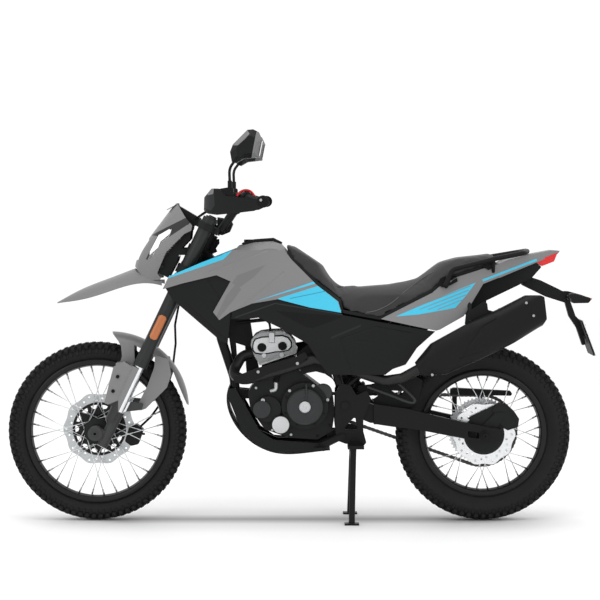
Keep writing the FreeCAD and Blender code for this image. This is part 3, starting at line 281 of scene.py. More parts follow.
def decorated(name, marks_and_painted_light=(), creases=()):
    """Satin paint with shapes in other colours let into it, some of them painted shade, and the soft folds of
    the moulding under it.
    """
    f = Finish(name, Coat_Weight=0.25, Coat_Roughness=0.3, Specular_IOR_Level=0.35)
    cloud = f.noise(4.0, 2.0)
    flake = f.noise(1500.0, 2.0)
    dark, light = shades(GREY, 0.1)
    tone = f.mix(cloud * 0.5 + flake * 0.5, dark, light)
    for corners, tint in marks_and_painted_light:
        tone = f.mix(f.inside(corners), tone, f.mix(flake, *shades(tint, 0.08)))
    f.colour(tone)
    f.vary("Roughness", (flake - 0.5) * 0.2 + (cloud - 0.5) * 0.1 + 0.45)
    height = flake * 0.02
    for crease in creases:
        height = height - f.line(*crease)
    f.relief(height, FOLD_DEPTH)
    return f


def stripe(x0, z0, x1, z1, width):
    """The four corners of a stripe between two points."""
    run = Vector((x1 - x0, z1 - z0)).normalized() * width / 2
    return [(x0 - run.y, z0 + run.x), (x0 + run.y, z0 - run.x), (x1 + run.y, z1 - run.x),
            (x1 - run.y, z1 + run.x)]


def seat_vinyl():
    f = Finish("seat vinyl", Specular_IOR_Level=0.35, Sheen_Weight=0.1)
    leather = f.cells(420.0)
    cloud = f.noise(7.0, 3.0)
    fine = f.noise(900.0, 2.0)
    dark, light = shades(srgb(36, 36, 37), 0.2)
    f.colour(f.mix(cloud * 0.6 + fine * 0.4, dark, light))
    f.vary("Roughness", (cloud - 0.5) * 0.14 - leather * 0.2 + 0.62)
    f.relief(leather * 0.7 + fine * 0.3, 0.0004)
    return f


def tyre_rubber(name, x0, z0):
    """Dark rubber with a dusty sheen and fine rings round the sidewall."""
    f = Finish(name, Specular_IOR_Level=0.16)
    x, _, z = f.xyz()
    r = ((x - x0) ** 2.0 + (z - z0) ** 2.0) ** 0.5
    rings = (r * 1.6).sin() * 0.5 + 0.5
    cloud = f.noise(14.0, 4.0)
    fine = f.noise(500.0, 3.0)
    f.colour(f.mix(cloud * 0.7 + fine * 0.3, srgb(18, 18, 19), srgb(38, 38, 39)))
    f.vary("Roughness", (cloud - 0.5) * 0.2 + (fine - 0.5) * 0.1 + 0.72)
    f.relief(rings * 0.25 + fine * 0.75, 0.0005)
    return f


def lens(name, colour, rough, clear, coat=0.6, flute=0.0006):
    """Moulded lens with small square flutes inside."""
    f = Finish(name, Transmission_Weight=clear, IOR=1.49, Coat_Weight=coat, Coat_Roughness=0.05)
    x, y, z = f.xyz()
    flutes = abs((x * 0.9).sin()) + abs((z * 0.9).sin()) + abs((y * 0.9).sin())
    fine = f.noise(300.0, 2.0)
    dark, light = shades(colour, 0.25)
    f.colour(f.mix(flutes * 0.33, dark, light))
    f.vary("Roughness", fine * 0.06 + rough)
    f.relief(flutes, flute)
    return f


def plate_face():
    """Blank white plate with a thin dark border line."""
    f = Finish("blank plate", Coat_Weight=0.2)
    _, y, z = f.xyz()
    edge = f.math("MAXIMUM", abs(y) - PLATE_HALF_W, abs(z - PLATE_Z) - PLATE_HALF_H)
    line = (edge > 0.0) * (edge < 2.5)
    grime = f.noise(30.0, 4.0)
    f.colour(f.mix(line, f.mix(grime, srgb(222, 222, 219), srgb(242, 242, 240)), srgb(30, 30, 30)))
    f.vary("Roughness", grime * 0.2 + 0.35)
    f.relief(grime, 0.0001)
    return f


def split_sleeve():
    """Fork leg: a bright hard-chromed stanchion above the dark cast foot."""
    f = Finish("fork leg")
    x, _, z = f.xyz()
    w = (x - STEER_X) * SIN + (z - FRONT_R) * COS
    u = (x - STEER_X) * COS - (z - FRONT_R) * SIN
    chromed = (w > CHROME_W) * (abs(u - LEG_U) < LEG_HALF)
    fine = f.noise(420.0, 3.0)
    lines = f.noise(90.0, 2.0, (1.0, 1.0, 0.15))
    foot = f.mix(fine, srgb(30, 31, 31), srgb(44, 45, 45))
    stanchion = f.mix(lines, srgb(214, 216, 219), srgb(240, 241, 243))
    f.colour(f.mix(chromed, foot, stanchion))
    f.vary("Roughness", (0.46 + fine * 0.1) * (1.0 - chromed) + (lines * 0.05 + 0.1) * chromed)
    f.vary("Metallic", chromed * 0.98 + 0.02)
    f.relief(fine * (1.0 - chromed), 0.0003)
    return f


# The grips lie beyond this y, above this z and behind this x
GRIP_Y, GRIP_Z, GRIP_X, RIB_PITCH = 286.0, 1160.0, -205.0, 5.0


def hand_rubber():
    """The ribbed grips at the bar's ends, and the smooth black housings and levers inboard of them."""
    f = Finish("grips and housings", Specular_IOR_Level=0.18)
    x, y, z = f.xyz()
    grip = (abs(y) > GRIP_Y) * (z > GRIP_Z) * (x > GRIP_X)
    ribs = ((y * (2 * math.pi / RIB_PITCH)).sin() * 0.5 + 0.5) * grip
    fine = f.noise(800.0, 2.0)
    f.colour(f.mix(fine * 0.5 + ribs * 0.5, srgb(17, 17, 18), srgb(32, 32, 33)))
    f.vary("Roughness", grip * 0.22 + fine * 0.12 + 0.4)
    f.relief(ribs + fine * 0.2, 0.001)
    return f


# Marks in other colours on the shells, some of them painted shade and highlights: outlines of (x, z) corners,
# seen from the side

# Shroud: blue decals with darker blue stripes, and two darker grey facets that are painted shade
SHROUD_DECALS_AND_SHADE = [
    ([(-86, 947), (-228, 895), (-246, 868), (-210, 846), (-169, 888)], FACET_SHADE),
    ([(-246, 868), (-268, 821), (-315, 762), (-293, 737), (-242, 806), (-210, 846)], FACET_SHADE),
    ([(-474, 884), (-456, 908), (-288, 990), (-230, 1000), (-277, 951), (-349, 927)], BLUE),
    (stripe(-407, 925, -280, 970, 4), DEEP_BLUE),
    ([(-84, 812), (60, 856), (137, 800), (150, 750), (31, 772)], BLUE),
    ([(-172, 800), (50, 873), (50, 864)], BLUE),
    (stripe(-40, 812, 90, 838, 3), DEEP_BLUE),
]
SHROUD_FOLDS = [(-330, 905, -120, 985, 10), (-228, 770, -60, 905, 12)]
TAIL_LINES = [(398, 776, 606, 856), (424, 773, 600, 841), (454, 772, 590, 824), (488, 772, 576, 806)]
TAIL_MARKS = [
    (stripe(651, 875, 850, 948, 8), BLUE),
    ([(338, 748), (420, 755), (552, 778), (590, 821), (626, 868), (560, 842)], BLUE),
] + [(stripe(*ends, 2.5), GREY) for ends in TAIL_LINES]
SCOOP_CREASES = [(-410, 800, -240, 640, 6), (-330, 880, -255, 760, 6)]
COVER_CREASES = [
    (140, 668, 195, 505, 7), (140, 668, 270, 712, 5), (200, 660, 262, 655, 9), (270, 712, 395, 690, 4)]
# Side covers: a near-black patch painted as shade in the inner scoop, and lighter stripes painted as
# highlights along the V arms and one edge
COVER_SHADE_AND_HIGHLIGHTS = [
    ([(-92, 769), (150, 748), (111, 731), (41, 706), (14, 712)], srgb(14, 15, 15)),
    (stripe(-235, 745, -92, 795, 4), srgb(44, 45, 46)),
    (stripe(-92, 795, 150, 754, 4), srgb(44, 45, 46)),
    (stripe(108, 672, 214, 716, 7), srgb(34, 35, 35)),
]
MASK_MARKS = [
    ([(-541, 1036), (-415, 1099), (-394, 1086), (-404, 1075), (-505, 1034)], BLACK),
    ([(-402, 1078), (-462, 1060), (-503, 1011)], BLACK),
    (stripe(-554, 950, -511, 1037, 6), BLACK),
]
MUDGUARD_MARKS = [([(-725, 417), (-655, 446), (-655, 350), (-725, 350)], BLACK)]
MIRROR_MARKS = [
    ([(-240, 1352), (-218, 1352), (-192, 1375), (-178, 1392), (-190, 1412), (-215, 1395)], GREY),
    ([(-175, 1290), (-157, 1385), (-150, 1412), (-120, 1412), (-120, 1290)], GREY),
]
# Hand guard: a grey corner, and a lighter facet that is a painted highlight
GUARD_CORNER_AND_LIT_FACET = [
    ([(-330, 1188), (-312, 1206), (-300, 1206), (-303, 1184), (-322, 1180)], GREY),
    ([(-322, 1180), (-300, 1183), (-298, 1145), (-312, 1126), (-345, 1140), (-345, 1177)], srgb(42, 43, 44)),
]
MUFFLER_CREASES = [
    (590, 640, 640, 700, 9), (540, 600, 600, 690, 12), (600, 735, 720, 800, 8), (520, 590, 640, 628, 6)]


# Finishes: colour, roughness, grain to a metre, grain depth in metres and spread of the tones

dull = {"Specular_IOR_Level": SHINE}
paint = decorated("grey paint")
shroud_paint = decorated("shroud paint", SHROUD_DECALS_AND_SHADE, SHROUD_FOLDS)
tail_paint = decorated("tail paint", TAIL_MARKS)
mask_paint = decorated("mask paint", MASK_MARKS)
mudguard_paint = decorated("mudguard paint", MUDGUARD_MARKS)
black_plastic = coated("black plastic", BLACK, 0.52, 1100.0, 0.00022, 0.25, **dull)
scoop_plastic = coated("scoop plastic", BLACK, 0.5, 1100.0, 0.00022, 0.25, SCOOP_CREASES, **dull)
cover_plastic = coated(
    "side cover plastic", BLACK, 0.5, 1100.0, 0.00022, 0.25, COVER_CREASES, COVER_SHADE_AND_HIGHLIGHTS, **dull)
mirror_plastic = coated("mirror housing", BLACK, 0.46, 1100.0, 0.0002, 0.2, (), MIRROR_MARKS, **dull)
guard_plastic = coated("guard plastic", BLACK, 0.5, 1100.0, 0.0002, 0.25, (), GUARD_CORNER_AND_LIT_FACET, **dull)
gloss_black = coated(
    "gloss black", srgb(16, 16, 17), 0.3, 300.0, 0.00003, 0.2, Specular_IOR_Level=0.2, Coat_Weight=0.1)
black_steel = coated("black powder coat", srgb(19, 19, 20), 0.42, 700.0, 0.00012, 0.2, **dull)
fork_coat = coated(
    "fork tube coat", srgb(43, 45, 44), 0.36, 900.0, 0.00006, Metallic=0.3, Specular_IOR_Level=0.25)
cast_dark = coated(
    "dark casting", srgb(25, 26, 26), 0.46, 420.0, 0.0003, 0.3, Metallic=0.2, Specular_IOR_Level=0.18)
cover_grey = coated(
    "engine cover", srgb(46, 47, 48), 0.4, 420.0, 0.0002, 0.2, Metallic=0.3, Specular_IOR_Level=0.3)
cast_silver = coated("silver casting", srgb(190, 191, 192), 0.4, 380.0, 0.0012, 0.45, Metallic=0.75)
head_alloy = coated("head casting", srgb(150, 151, 152), 0.5, 260.0, 0.002, 0.6, Metallic=0.7)
silver_disc = brushed("brushed disc", srgb(224, 226, 228), 0.3, 180.0)
# The front disc, a darker grey than the rear disc and the sprocket
grey_disc = brushed("worn disc", srgb(186, 189, 190), 0.36, 180.0)
spoke_steel = brushed("spoke steel", srgb(218, 220, 222), 0.28, 240.0)
zinc = brushed("zinc plate", srgb(176, 177, 178), 0.34, 320.0)
chain_steel = brushed("oiled chain", srgb(64, 63, 61), 0.36, 400.0, 0.7)
mirror_glass = brushed("mirror glass", srgb(225, 227, 228), 0.03, 30.0, depth=0.000002)
spring_steel = coated("spring coat", srgb(40, 41, 42), 0.34, 500.0, 0.00008, 0.1, Coat_Weight=0.3)
muffler_coat = coated(
    "muffler coat", srgb(18, 18, 19), 0.4, 600.0, 0.00016, 0.25, MUFFLER_CREASES, Metallic=0.1,
    Specular_IOR_Level=0.16)
header_steel = coated("header steel", srgb(30, 30, 29), 0.42, 320.0, 0.0002, 0.3, Metallic=0.5)
vinyl = seat_vinyl()
welt = coated("seat welt", srgb(84, 85, 86), 0.5, 900.0, 0.0002, 0.15, **dull)
rubber = coated("rubber", srgb(17, 17, 18), 0.66, 600.0, 0.0003, 0.25, **dull)
controls_finish = hand_rubber()
leg_finish = split_sleeve()
front_rubber = tyre_rubber("front tyre rubber", FRONT_X, FRONT_R)
rear_rubber = tyre_rubber("rear tyre rubber", REAR_X, REAR_R)
# The headlamp lens and the side lenses are near-white: painted reflection of the lamp's bright reflector and
# the white surroundings seen in them
clear_lens = lens("clear lens", srgb(244, 245, 246), 0.05, 0.2)
side_lens = lens("side lens", srgb(250, 251, 252), 0.1, 0.0, flute=0.0001)
red_lens = lens("red lens", srgb(200, 12, 16), 0.3, 0.0, 0.1, 0.0003)
amber_lens = lens("amber lens", srgb(214, 106, 24), 0.12, 0.15)
reflector = lens("amber reflector", srgb(172, 94, 34), 0.2, 0.0)
screen_glass = lens("smoked screen", srgb(60, 62, 64), 0.04, 0.8)
dial_glass = coated("dial glass", srgb(12, 14, 15), 0.08, 200.0, 0.00001, 0.1, Coat_Weight=0.6)
red_switch = coated("red switch", srgb(196, 30, 34), 0.4, 600.0, 0.00008, 0.1, Specular_IOR_Level=0.4)
plate_paint = plate_face()


CARRIED = {
    "frame": black_steel, "subframe": black_steel, "engine": cast_dark, "cylinder": cast_dark,
    "cylinder_head": cast_silver, "exhaust_header": header_steel, "heat_shield": black_steel,
    "muffler": muffler_coat, "fuel_tank": paint, "fuel_cap": black_plastic, "shroud_left": shroud_paint,
    "shroud_right": shroud_paint, "air_scoops": scoop_plastic, "side_covers": cover_plastic, "seat": vinyl,
    "seat_base": black_plastic, "air_box": black_plastic, "tail_cowl": tail_paint, "tail_lamp": red_lens,
    "rear_fender": black_plastic, "number_plate": plate_paint, "rear_indicators": black_plastic,
    "grab_rail": black_steel, "skid_plate": black_plastic, "footpegs": black_steel,
    "foot_controls": black_steel, "swingarm": black_steel, "pivot_bolt": black_steel,
    "rear_shock": black_steel, "chain": chain_steel, "chain_guard": black_plastic, "rear_caliper": cast_dark,
    "fork_clamps": cast_dark, "fork_tubes": fork_coat, "fork_lowers": leg_finish, "handlebar": black_steel,
    "hand_controls": controls_finish, "hand_guards": guard_plastic, "mirrors": mirror_plastic,
    "headlamp_mask": mask_paint, "headlamp": clear_lens, "mask_bracket": black_plastic,
    "instrument_panel": black_plastic, "brake_hose": rubber, "bar_cables": rubber, "front_beak": paint,
    "front_mudguard": mudguard_paint, "front_caliper": cast_dark, "front_wheel": black_steel,
    "front_tyre": front_rubber, "front_disc": grey_disc, "rear_wheel": black_steel, "rear_tyre": rear_rubber,
    "rear_disc": silver_disc, "sprocket": silver_disc, "centre_stand": black_steel,
}
for name, obj in nodes.items():
    for held in obj.material_slots:
        held.material = CARRIED.get(name, black_plastic).material


# Meshes

def link(obj):
    bpy.context.scene.collection.objects.link(obj)
    return obj


def mesh_of(name, verts, faces, smooth=True):
    """A mesh object from points in millimetres."""
    mesh = bpy.data.meshes.new(name)
    mesh.from_pydata([tuple(c * MM for c in v) for v in verts], [], faces)
    mesh.validate()
    bm = bmesh.new()
    bm.from_mesh(mesh)
    bmesh.ops.recalc_face_normals(bm, faces=bm.faces)
    bm.to_mesh(mesh)
    bm.free()
    if smooth:
        mesh.shade_smooth()
    return link(bpy.data.objects.new(name, mesh))


def dress(obj, finish, body, replaces=()):
    """Gives a finished piece its material and the body that it rides on."""
    obj.data.materials.clear()
    obj.data.materials.append(finish.material)
    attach(obj, body)
    if replaces:
        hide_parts(*replaces)
    return obj


def crisp(obj, angle=35.0):
    """Smooth shading with sharp edges kept where faces meet at more than an angle."""
    bm = bmesh.new()
    bm.from_mesh(obj.data)
    for edge in bm.edges:
        edge.smooth = edge.calc_face_angle(0.0) < math.radians(angle)
    bm.to_mesh(obj.data)
    bm.free()
    obj.data.shade_smooth()
    return obj


def settled(obj):
    """A mesh object in place of a curve or of an object with modifiers, by the same name."""
    name = obj.name
    graph = bpy.context.evaluated_depsgraph_get()
    mesh = bpy.data.meshes.new_from_object(obj.evaluated_get(graph), depsgraph=graph)
    bpy.data.objects.remove(obj)
    return link(bpy.data.objects.new(name, mesh))


def turned(name, profile, x, z, steps=96):
    """A closed profile of (radius, y) turned round an axle at x, z."""
    verts, faces = [], []
    n = len(profile)
    for i in range(steps):
        a = 2 * math.pi * i / steps
        verts += [(x + r * math.cos(a), y, z + r * math.sin(a)) for r, y in profile]
    for i in range(steps):
        j = (i + 1) % steps
        for k in range(n):
            m = (k + 1) % n
            faces.append((i * n + k, i * n + m, j * n + m, j * n + k))
    return mesh_of(name, verts, faces)


def joined(name, objs):
    """Several objects as one mesh."""
    bm = bmesh.new()
    for obj in objs:
        mesh = obj.data.copy()
        mesh.transform(obj.matrix_world)
        bm.from_mesh(mesh)
        bpy.data.meshes.remove(mesh)
        bpy.data.objects.remove(obj)
    mesh = bpy.data.meshes.new(name)
    bm.to_mesh(mesh)
    bm.free()
    return link(bpy.data.objects.new(name, mesh))


def bevelled(obj, width, segments=2):
    mod = obj.modifiers.new("edge", "BEVEL")
    mod.width = width * MM
    mod.segments = segments
    mod.limit_method = "ANGLE"
    mod.angle_limit = math.radians(30)
    mod.harden_normals = False
    return settled(obj)


def cut_plate(name, outer, holes, y, thick, bevel=0.4):
    """A flat plate across the bike, from its outline and the outlines of its holes."""
    curve = bpy.data.curves.new(name, "CURVE")
    curve.dimensions = "2D"
    curve.fill_mode = "BOTH"
    curve.extrude = (thick / 2 - bevel) * MM
    curve.bevel_depth = bevel * MM
    curve.bevel_resolution = 0
    curve.offset = -bevel * MM
    for points in [outer] + list(holes):
        spline = curve.splines.new("POLY")
        spline.points.add(len(points) - 1)
        for point, (px, pz) in zip(spline.points, points):
            point.co = (px * MM, pz * MM, 0.0, 1.0)
        spline.use_cyclic_u = True
    made = settled(link(bpy.data.objects.new(name, curve)))
    made.data.transform(Matrix.Translation((0, y * MM, 0)) @ Matrix.Rotation(math.pi / 2, 4, "X"))
    return made


def around(x, z, r, a):
    """The point at an angle on a circle that faces the side."""
    return x + r * math.cos(a), z + r * math.sin(a)


def circle(x, z, r, steps=20):
    return [around(x, z, r, 2 * math.pi * i / steps) for i in range(steps)]


def pipe(name, points, r, steps=12):
    """A round bar along a smooth curve through control points."""
    curve = bpy.data.curves.new(name, "CURVE")
    curve.dimensions = "3D"
    curve.bevel_depth = r * MM
    curve.bevel_resolution = 4
    curve.resolution_u = steps
    curve.use_fill_caps = True
    spline = curve.splines.new("NURBS")
    spline.points.add(len(points) - 1)
    for point, place in zip(spline.points, points):
        point.co = (*[c * MM for c in place], 1.0)
    spline.order_u = 3
    spline.use_endpoint_u = True
    made = settled(link(bpy.data.objects.new(name, curve)))
    made.data.shade_smooth()
    return made


# Geometry node trees

def growing(name, inputs):
    """A new geometry tree and its named inputs as a dictionary of sockets."""
    tree = bpy.data.node_groups.new(name, "GeometryNodeTree")
    tree.interface.new_socket("Geometry", in_out="INPUT", socket_type="NodeSocketGeometry")
    for label, kind in inputs:
        tree.interface.new_socket(label, in_out="INPUT", socket_type="NodeSocket" + kind)
    tree.interface.new_socket("Geometry", in_out="OUTPUT", socket_type="NodeSocketGeometry")
    web = Web(tree)
    start = web.node("NodeGroupInput")
    given = {socket.name: socket for socket in start.outputs if socket.name}
    return web, given


def finish_tree(web, given, geometry):
    """Ends a tree in Realize Instances and Set Material."""
    real = web.node("GeometryNodeRealizeInstances", None, {"Geometry": geometry}).outputs[0]
    coloured = web.node("GeometryNodeSetMaterial", None, {"Geometry": real, "Material": given["Material"]})
    web.node("NodeGroupOutput", None, {"Geometry": coloured.outputs[0]})
    return web.tree


def item_shape(web, given, label="Item"):
    return web.node("GeometryNodeObjectInfo", None, {"Object": given[label]}).outputs["Geometry"]


def ring_tree():
    """Items set round an axle along Y, each with its top pointing out and leaning to one side."""
    web, given = growing("ring of items", [
        ("Item", "Object"), ("Count", "Int"), ("Radius", "Float"), ("Side", "Float"), ("Lean", "Float"),
        ("First", "Float"), ("Centre", "Vector"), ("Twist", "Float"), ("Material", "Material")])
    index = Val(web, web.node("GeometryNodeInputIndex").outputs[0])
    angle = (index + Val(web, given["First"])) * (2 * math.pi) / Val(web, given["Count"])
    radius = Val(web, given["Radius"])
    place = web.vector(angle.cos() * radius, given["Side"], angle.sin() * radius)
    place = web.vector_math("ADD", place, given["Centre"])
    points = web.node("GeometryNodePoints", None, {"Count": given["Count"], "Position": place}).outputs[0]
    turn = web.vector(given["Lean"], math.pi / 2 - angle, 0.0)
    spin = web.vector(0.0, 0.0, given["Twist"])
    stance = web.node("FunctionNodeRotateRotation", {"rotation_space": "LOCAL"}, {
        0: euler(web, turn), 1: euler(web, spin)}).outputs[0]
    grown = web.node("GeometryNodeInstanceOnPoints", None, {
        "Points": points, "Instance": item_shape(web, given), "Rotation": stance}).outputs[0]
    return finish_tree(web, given, grown)


def euler(web, vector):
    return web.node("FunctionNodeEulerToRotation", None, {0: vector}).outputs[0]


def lacing_tree():
    """Crossed wire spokes, or a stretch of each one, from the hub flanges to the rim."""
    web, given = growing("lacing", [
        ("Item", "Object"), ("Spokes", "Int"), ("Hub Radius", "Float"), ("Hub Width", "Float"),
        ("Rim Radius", "Float"), ("Rim Offset", "Float"), ("Cross", "Float"), ("From", "Float"),
        ("To", "Float"), ("Gauge", "Float"), ("Centre", "Vector"), ("Material", "Material")])
    value = {label: Val(web, socket) for label, socket in given.items()}
    index = Val(web, web.node("GeometryNodeInputIndex").outputs[0])
    side = (index % 2.0) * 2.0 - 1.0
    lean = ((index / 2.0).floor() % 2.0) * 2.0 - 1.0
    out = (index + 0.5) * (2 * math.pi) / value["Spokes"]
    back = out + lean * value["Cross"]
    hub, rim = value["Hub Radius"], value["Rim Radius"]
    near = web.vector(back.cos() * hub, side * value["Hub Width"], back.sin() * hub)
    far = web.vector(out.cos() * rim, side * value["Rim Offset"], out.sin() * rim)
    near = web.vector_math("ADD", near, given["Centre"])
    far = web.vector_math("ADD", far, given["Centre"])
    start = along_line(web, near, far, given["From"])
    end = along_line(web, near, far, given["To"])
    middle = along_line(web, start, end, 0.5)
    length = web.vector_math("DISTANCE", start, end)
    points = web.node("GeometryNodePoints", None, {"Count": given["Spokes"], "Position": middle}).outputs[0]
    turn = web.node("FunctionNodeAlignRotationToVector", {"axis": "Z"}, {
        "Vector": web.vector_math("SUBTRACT", end, start)}).outputs[0]
    size = web.vector(given["Gauge"], given["Gauge"], length)
    grown = web.node("GeometryNodeInstanceOnPoints", None, {
        "Points": points, "Instance": item_shape(web, given), "Rotation": turn, "Scale": size}).outputs[0]
    return finish_tree(web, given, grown)


def along_line(web, a, b, t):
    made = web.node("ShaderNodeMix", {"data_type": "VECTOR"}, {0: t, 4: a, 5: b})
    return made.outputs[1]


def link_tree():
    """Chain links along a closed path, two shapes by turns."""
    web, given = growing("chain links", [
        ("Outer", "Object"), ("Inner", "Object"), ("Links", "Int"), ("Material", "Material")])
    path = web.node("GeometryNodeResampleCurve", None, {"Curve": given["Geometry"], "Count": given["Links"]})
    points = web.node("GeometryNodeCurveToPoints", {"mode": "EVALUATED"}, {"Curve": path.outputs[0]})
    tangent = web.node("ShaderNodeSeparateXYZ", None, {0: points.outputs["Tangent"]})
    angle = web.math("ARCTAN2", tangent.outputs[2], tangent.outputs[0])
    turn = euler(web, web.vector(0.0, -angle, 0.0))
    index = Val(web, web.node("GeometryNodeInputIndex").outputs[0])
    even = (index % 2.0) < 0.5
    sets = []
    for label, choice in (("Outer", even), ("Inner", 1.0 - even)):
        sets.append(web.node("GeometryNodeInstanceOnPoints", None, {
            "Points": points.outputs["Points"], "Selection": choice,
            "Instance": item_shape(web, given, label), "Rotation": turn}).outputs[0])
    both = web.node("GeometryNodeJoinGeometry")
    for grown in sets:
        web.tree.links.new(grown, both.inputs[0])
    return finish_tree(web, given, both.outputs[0])


def stud_tree():
    """Items on the carrier's own points, turned and sized by its attributes."""
    web, given = growing("studs", [("Item", "Object"), ("Material", "Material")])
    turn, size = (web.node("GeometryNodeInputNamedAttribute", {"data_type": kind}, {"Name": name}).outputs[0]
                  for kind, name in (("FLOAT_VECTOR", "turn"), ("FLOAT", "size")))
    grown = web.node("GeometryNodeInstanceOnPoints", None, {
        "Points": given["Geometry"], "Instance": item_shape(web, given), "Rotation": euler(web, turn),
        "Scale": web.vector(size, size, size)}).outputs[0]
    return finish_tree(web, given, grown)


def grow(tree, name, values, carrier=None):
    """Runs a tree on a carrier and returns the plain mesh object that it makes."""
    if carrier is None:
        carrier = link(bpy.data.objects.new(name, bpy.data.meshes.new(name)))
    mod = carrier.modifiers.new("grow", "NODES")
    mod.node_group = tree
    for item in tree.interface.items_tree:
        if item.item_type == "SOCKET" and item.in_out == "INPUT" and item.name in values:
            mod[item.identifier] = values[item.name]
    graph = bpy.context.evaluated_depsgraph_get()
    mesh = bpy.data.meshes.new_from_object(carrier.evaluated_get(graph), depsgraph=graph)
    bpy.data.objects.remove(carrier)
    made = link(bpy.data.objects.new(name, mesh))
    mesh.name = name
    return made


RING, LACING, LINKS, STUDS = ring_tree(), lacing_tree(), link_tree(), stud_tree()


def round_item(name, rings, steps=8):
    """A small turned shape along Z from (radius, height) rings in millimetres."""
    verts, faces = [], []
    for r, z in rings:
        verts += [(x, y, z) for x, y in circle(0.0, 0.0, r, steps)]
    for k in range(len(rings) - 1):
        for i in range(steps):
            j = (i + 1) % steps
            faces.append((k * steps + i, k * steps + j, (k + 1) * steps + j, (k + 1) * steps + i))
    faces.append(tuple(range(steps))[::-1])
    faces.append(tuple((len(rings) - 1) * steps + i for i in range(steps)))
    return mesh_of(name, verts, faces)


def block_item(name, length, width, height):
    """A tread block: wide foot, smaller top with cut corners."""
    c = 0.7
    corners = ((1, c), (c, 1), (-c, 1), (-1, c), (-1, -c), (-c, -1), (c, -1), (1, -c))
    verts, faces = [], []
    for size, z in ((1, -3.0), (0.94, height * 0.55), (0.78, height)):
        verts += [(length / 2 * size * px, width / 2 * size * py, z) for px, py in corners]
    for k in range(2):
        for i in range(8):
            j = (i + 1) % 8
            faces.append((k * 8 + i, k * 8 + j, k * 8 + 8 + j, k * 8 + 8 + i))
    faces.append(tuple(range(16, 24)))
    return mesh_of(name, verts, faces, False)


# Wheels

AXLE_BORE = 10.1
FRONT_BEAD, REAR_BEAD, BEAD_GAP = 249.0, 219.0, 0.2
RIM_DROP, RIM_FLANGE = 13.5, 13.0
SPOKES, SPOKE_GAUGE, NIPPLE_GAUGE = 32, 1.5, 3.1
SPOKE_CROSS = math.radians(62)
TREAD = 9.0
# Rows of blocks: length, width, height, first place, share of the half width, lean, twist, depth under crown
TREAD_ROWS = [
    (14.0, 15.0, 8.6, 0.0, 0.18, 0.10, 0.25, 0.6),
    (15.0, 15.0, 7.0, 0.5, 0.5, 0.30, -0.3, 2.6),
    (17.0, 18.0, 9.4, 0.0, 0.79, 0.75, 0.15, 8.4),
    (10.0, 17.0, 5.6, 0.5, 0.925, 1.35, 0.0, 24.0),
]
DISC_THICK, WAVES, WAVE_DEPTH = 4.0, 10, 3.5
DRILLED, DRILL_R, DRILL_TRACKS = 30, 4.0, (8, -1, -9)


def mirrored(flank, middle=()):
    """A whole profile of (radius, y) from its far half: the near half, the middle and the far half back."""
    return [(r, -y) for r, y in flank] + list(middle) + flank[::-1]


def tyre(name, x, radius, half, bead_r, bead_w, finish, body, node, count):
    """Carcass and blocks of a knobbly tyre."""
    wall, crown = (radius + bead_r) / 2, radius - TREAD
    flank = [
        (bead_r, bead_w - 2), (bead_r + 4, bead_w + 1), (bead_r + 10, bead_w + 4), (bead_r + 14, bead_w + 3),
        (wall - 8, half * 0.9), (wall + 8, half * 0.955), (crown - 22, half * 0.94), (crown - 9, half * 0.78),
        (crown - 3, half * 0.5), (crown, half * 0.2)]
    inner = [(bead_r + 6, bead_w - 6), (bead_r + 6, -bead_w + 6)]
    parts = [turned(name, mirrored(flank) + inner, x, radius, 120)]
    for length, width, height, first, share, lean, twist, drop in TREAD_ROWS:
        block = block_item("block", length, width, height)
        for s in (-1, 1):
            parts.append(grow(RING, name + "_row", {
                "Item": block, "Count": count, "Radius": (crown - drop) * MM, "Side": s * half * share * MM,
                "Lean": -s * lean, "First": first, "Centre": (x * MM, 0.0, radius * MM), "Twist": s * twist,
                "Material": finish.material}))
        bpy.data.objects.remove(block)
    return dress(crisp(joined(name, parts), 40), finish, body, [node])


def wheel(name, x, z, bead_r, rim_w, hub_r, hub_w, hub_profile, body, node):
    """Rim, hub, spokes and nipples in place of the CAD wheel."""
    drop, flange = bead_r - RIM_DROP, bead_r + RIM_FLANGE
    flank = [
        (bead_r, rim_w), (flange - 2, rim_w + 2), (flange, rim_w + 5), (flange - 2, rim_w + 8),
        (bead_r + 2, rim_w + 7), (bead_r - 5, rim_w + 6), (bead_r - 8, rim_w + 3), (drop + 4, rim_w * 0.6),
        (drop + 1, rim_w * 0.3)]
    outer = [(drop + 8, rim_w * 0.4), (drop + 8, -rim_w * 0.4)]
    rim = turned(name + "_rim", mirrored(flank, [(drop, 0)]) + outer, x, z, 128)
    dress(rim, gloss_black, body, [node])
    hub = bevelled(turned(name + "_hub", hub_profile, x, z, 64), 1.2)
    dress(crisp(hub), cast_dark, body)
    wire = round_item("wire", [(1 / MM, -0.5 / MM), (1 / MM, 0.5 / MM)])
    values = {
        "Item": wire, "Spokes": SPOKES, "Hub Radius": hub_r * MM, "Hub Width": hub_w * MM,
        "Rim Radius": (drop + 2) * MM, "Rim Offset": 6.0 * MM, "Cross": SPOKE_CROSS, "From": 0.0, "To": 1.0,
        "Gauge": SPOKE_GAUGE * MM, "Centre": (x * MM, 0.0, z * MM), "Material": spoke_steel.material}
    dress(grow(LACING, name + "_spokes", values), spoke_steel, body)
    values.update({"From": 0.9, "To": 0.99, "Gauge": NIPPLE_GAUGE * MM, "Material": zinc.material})
    dress(grow(LACING, name + "_nipples", values), zinc, body)
    bpy.data.objects.remove(wire)


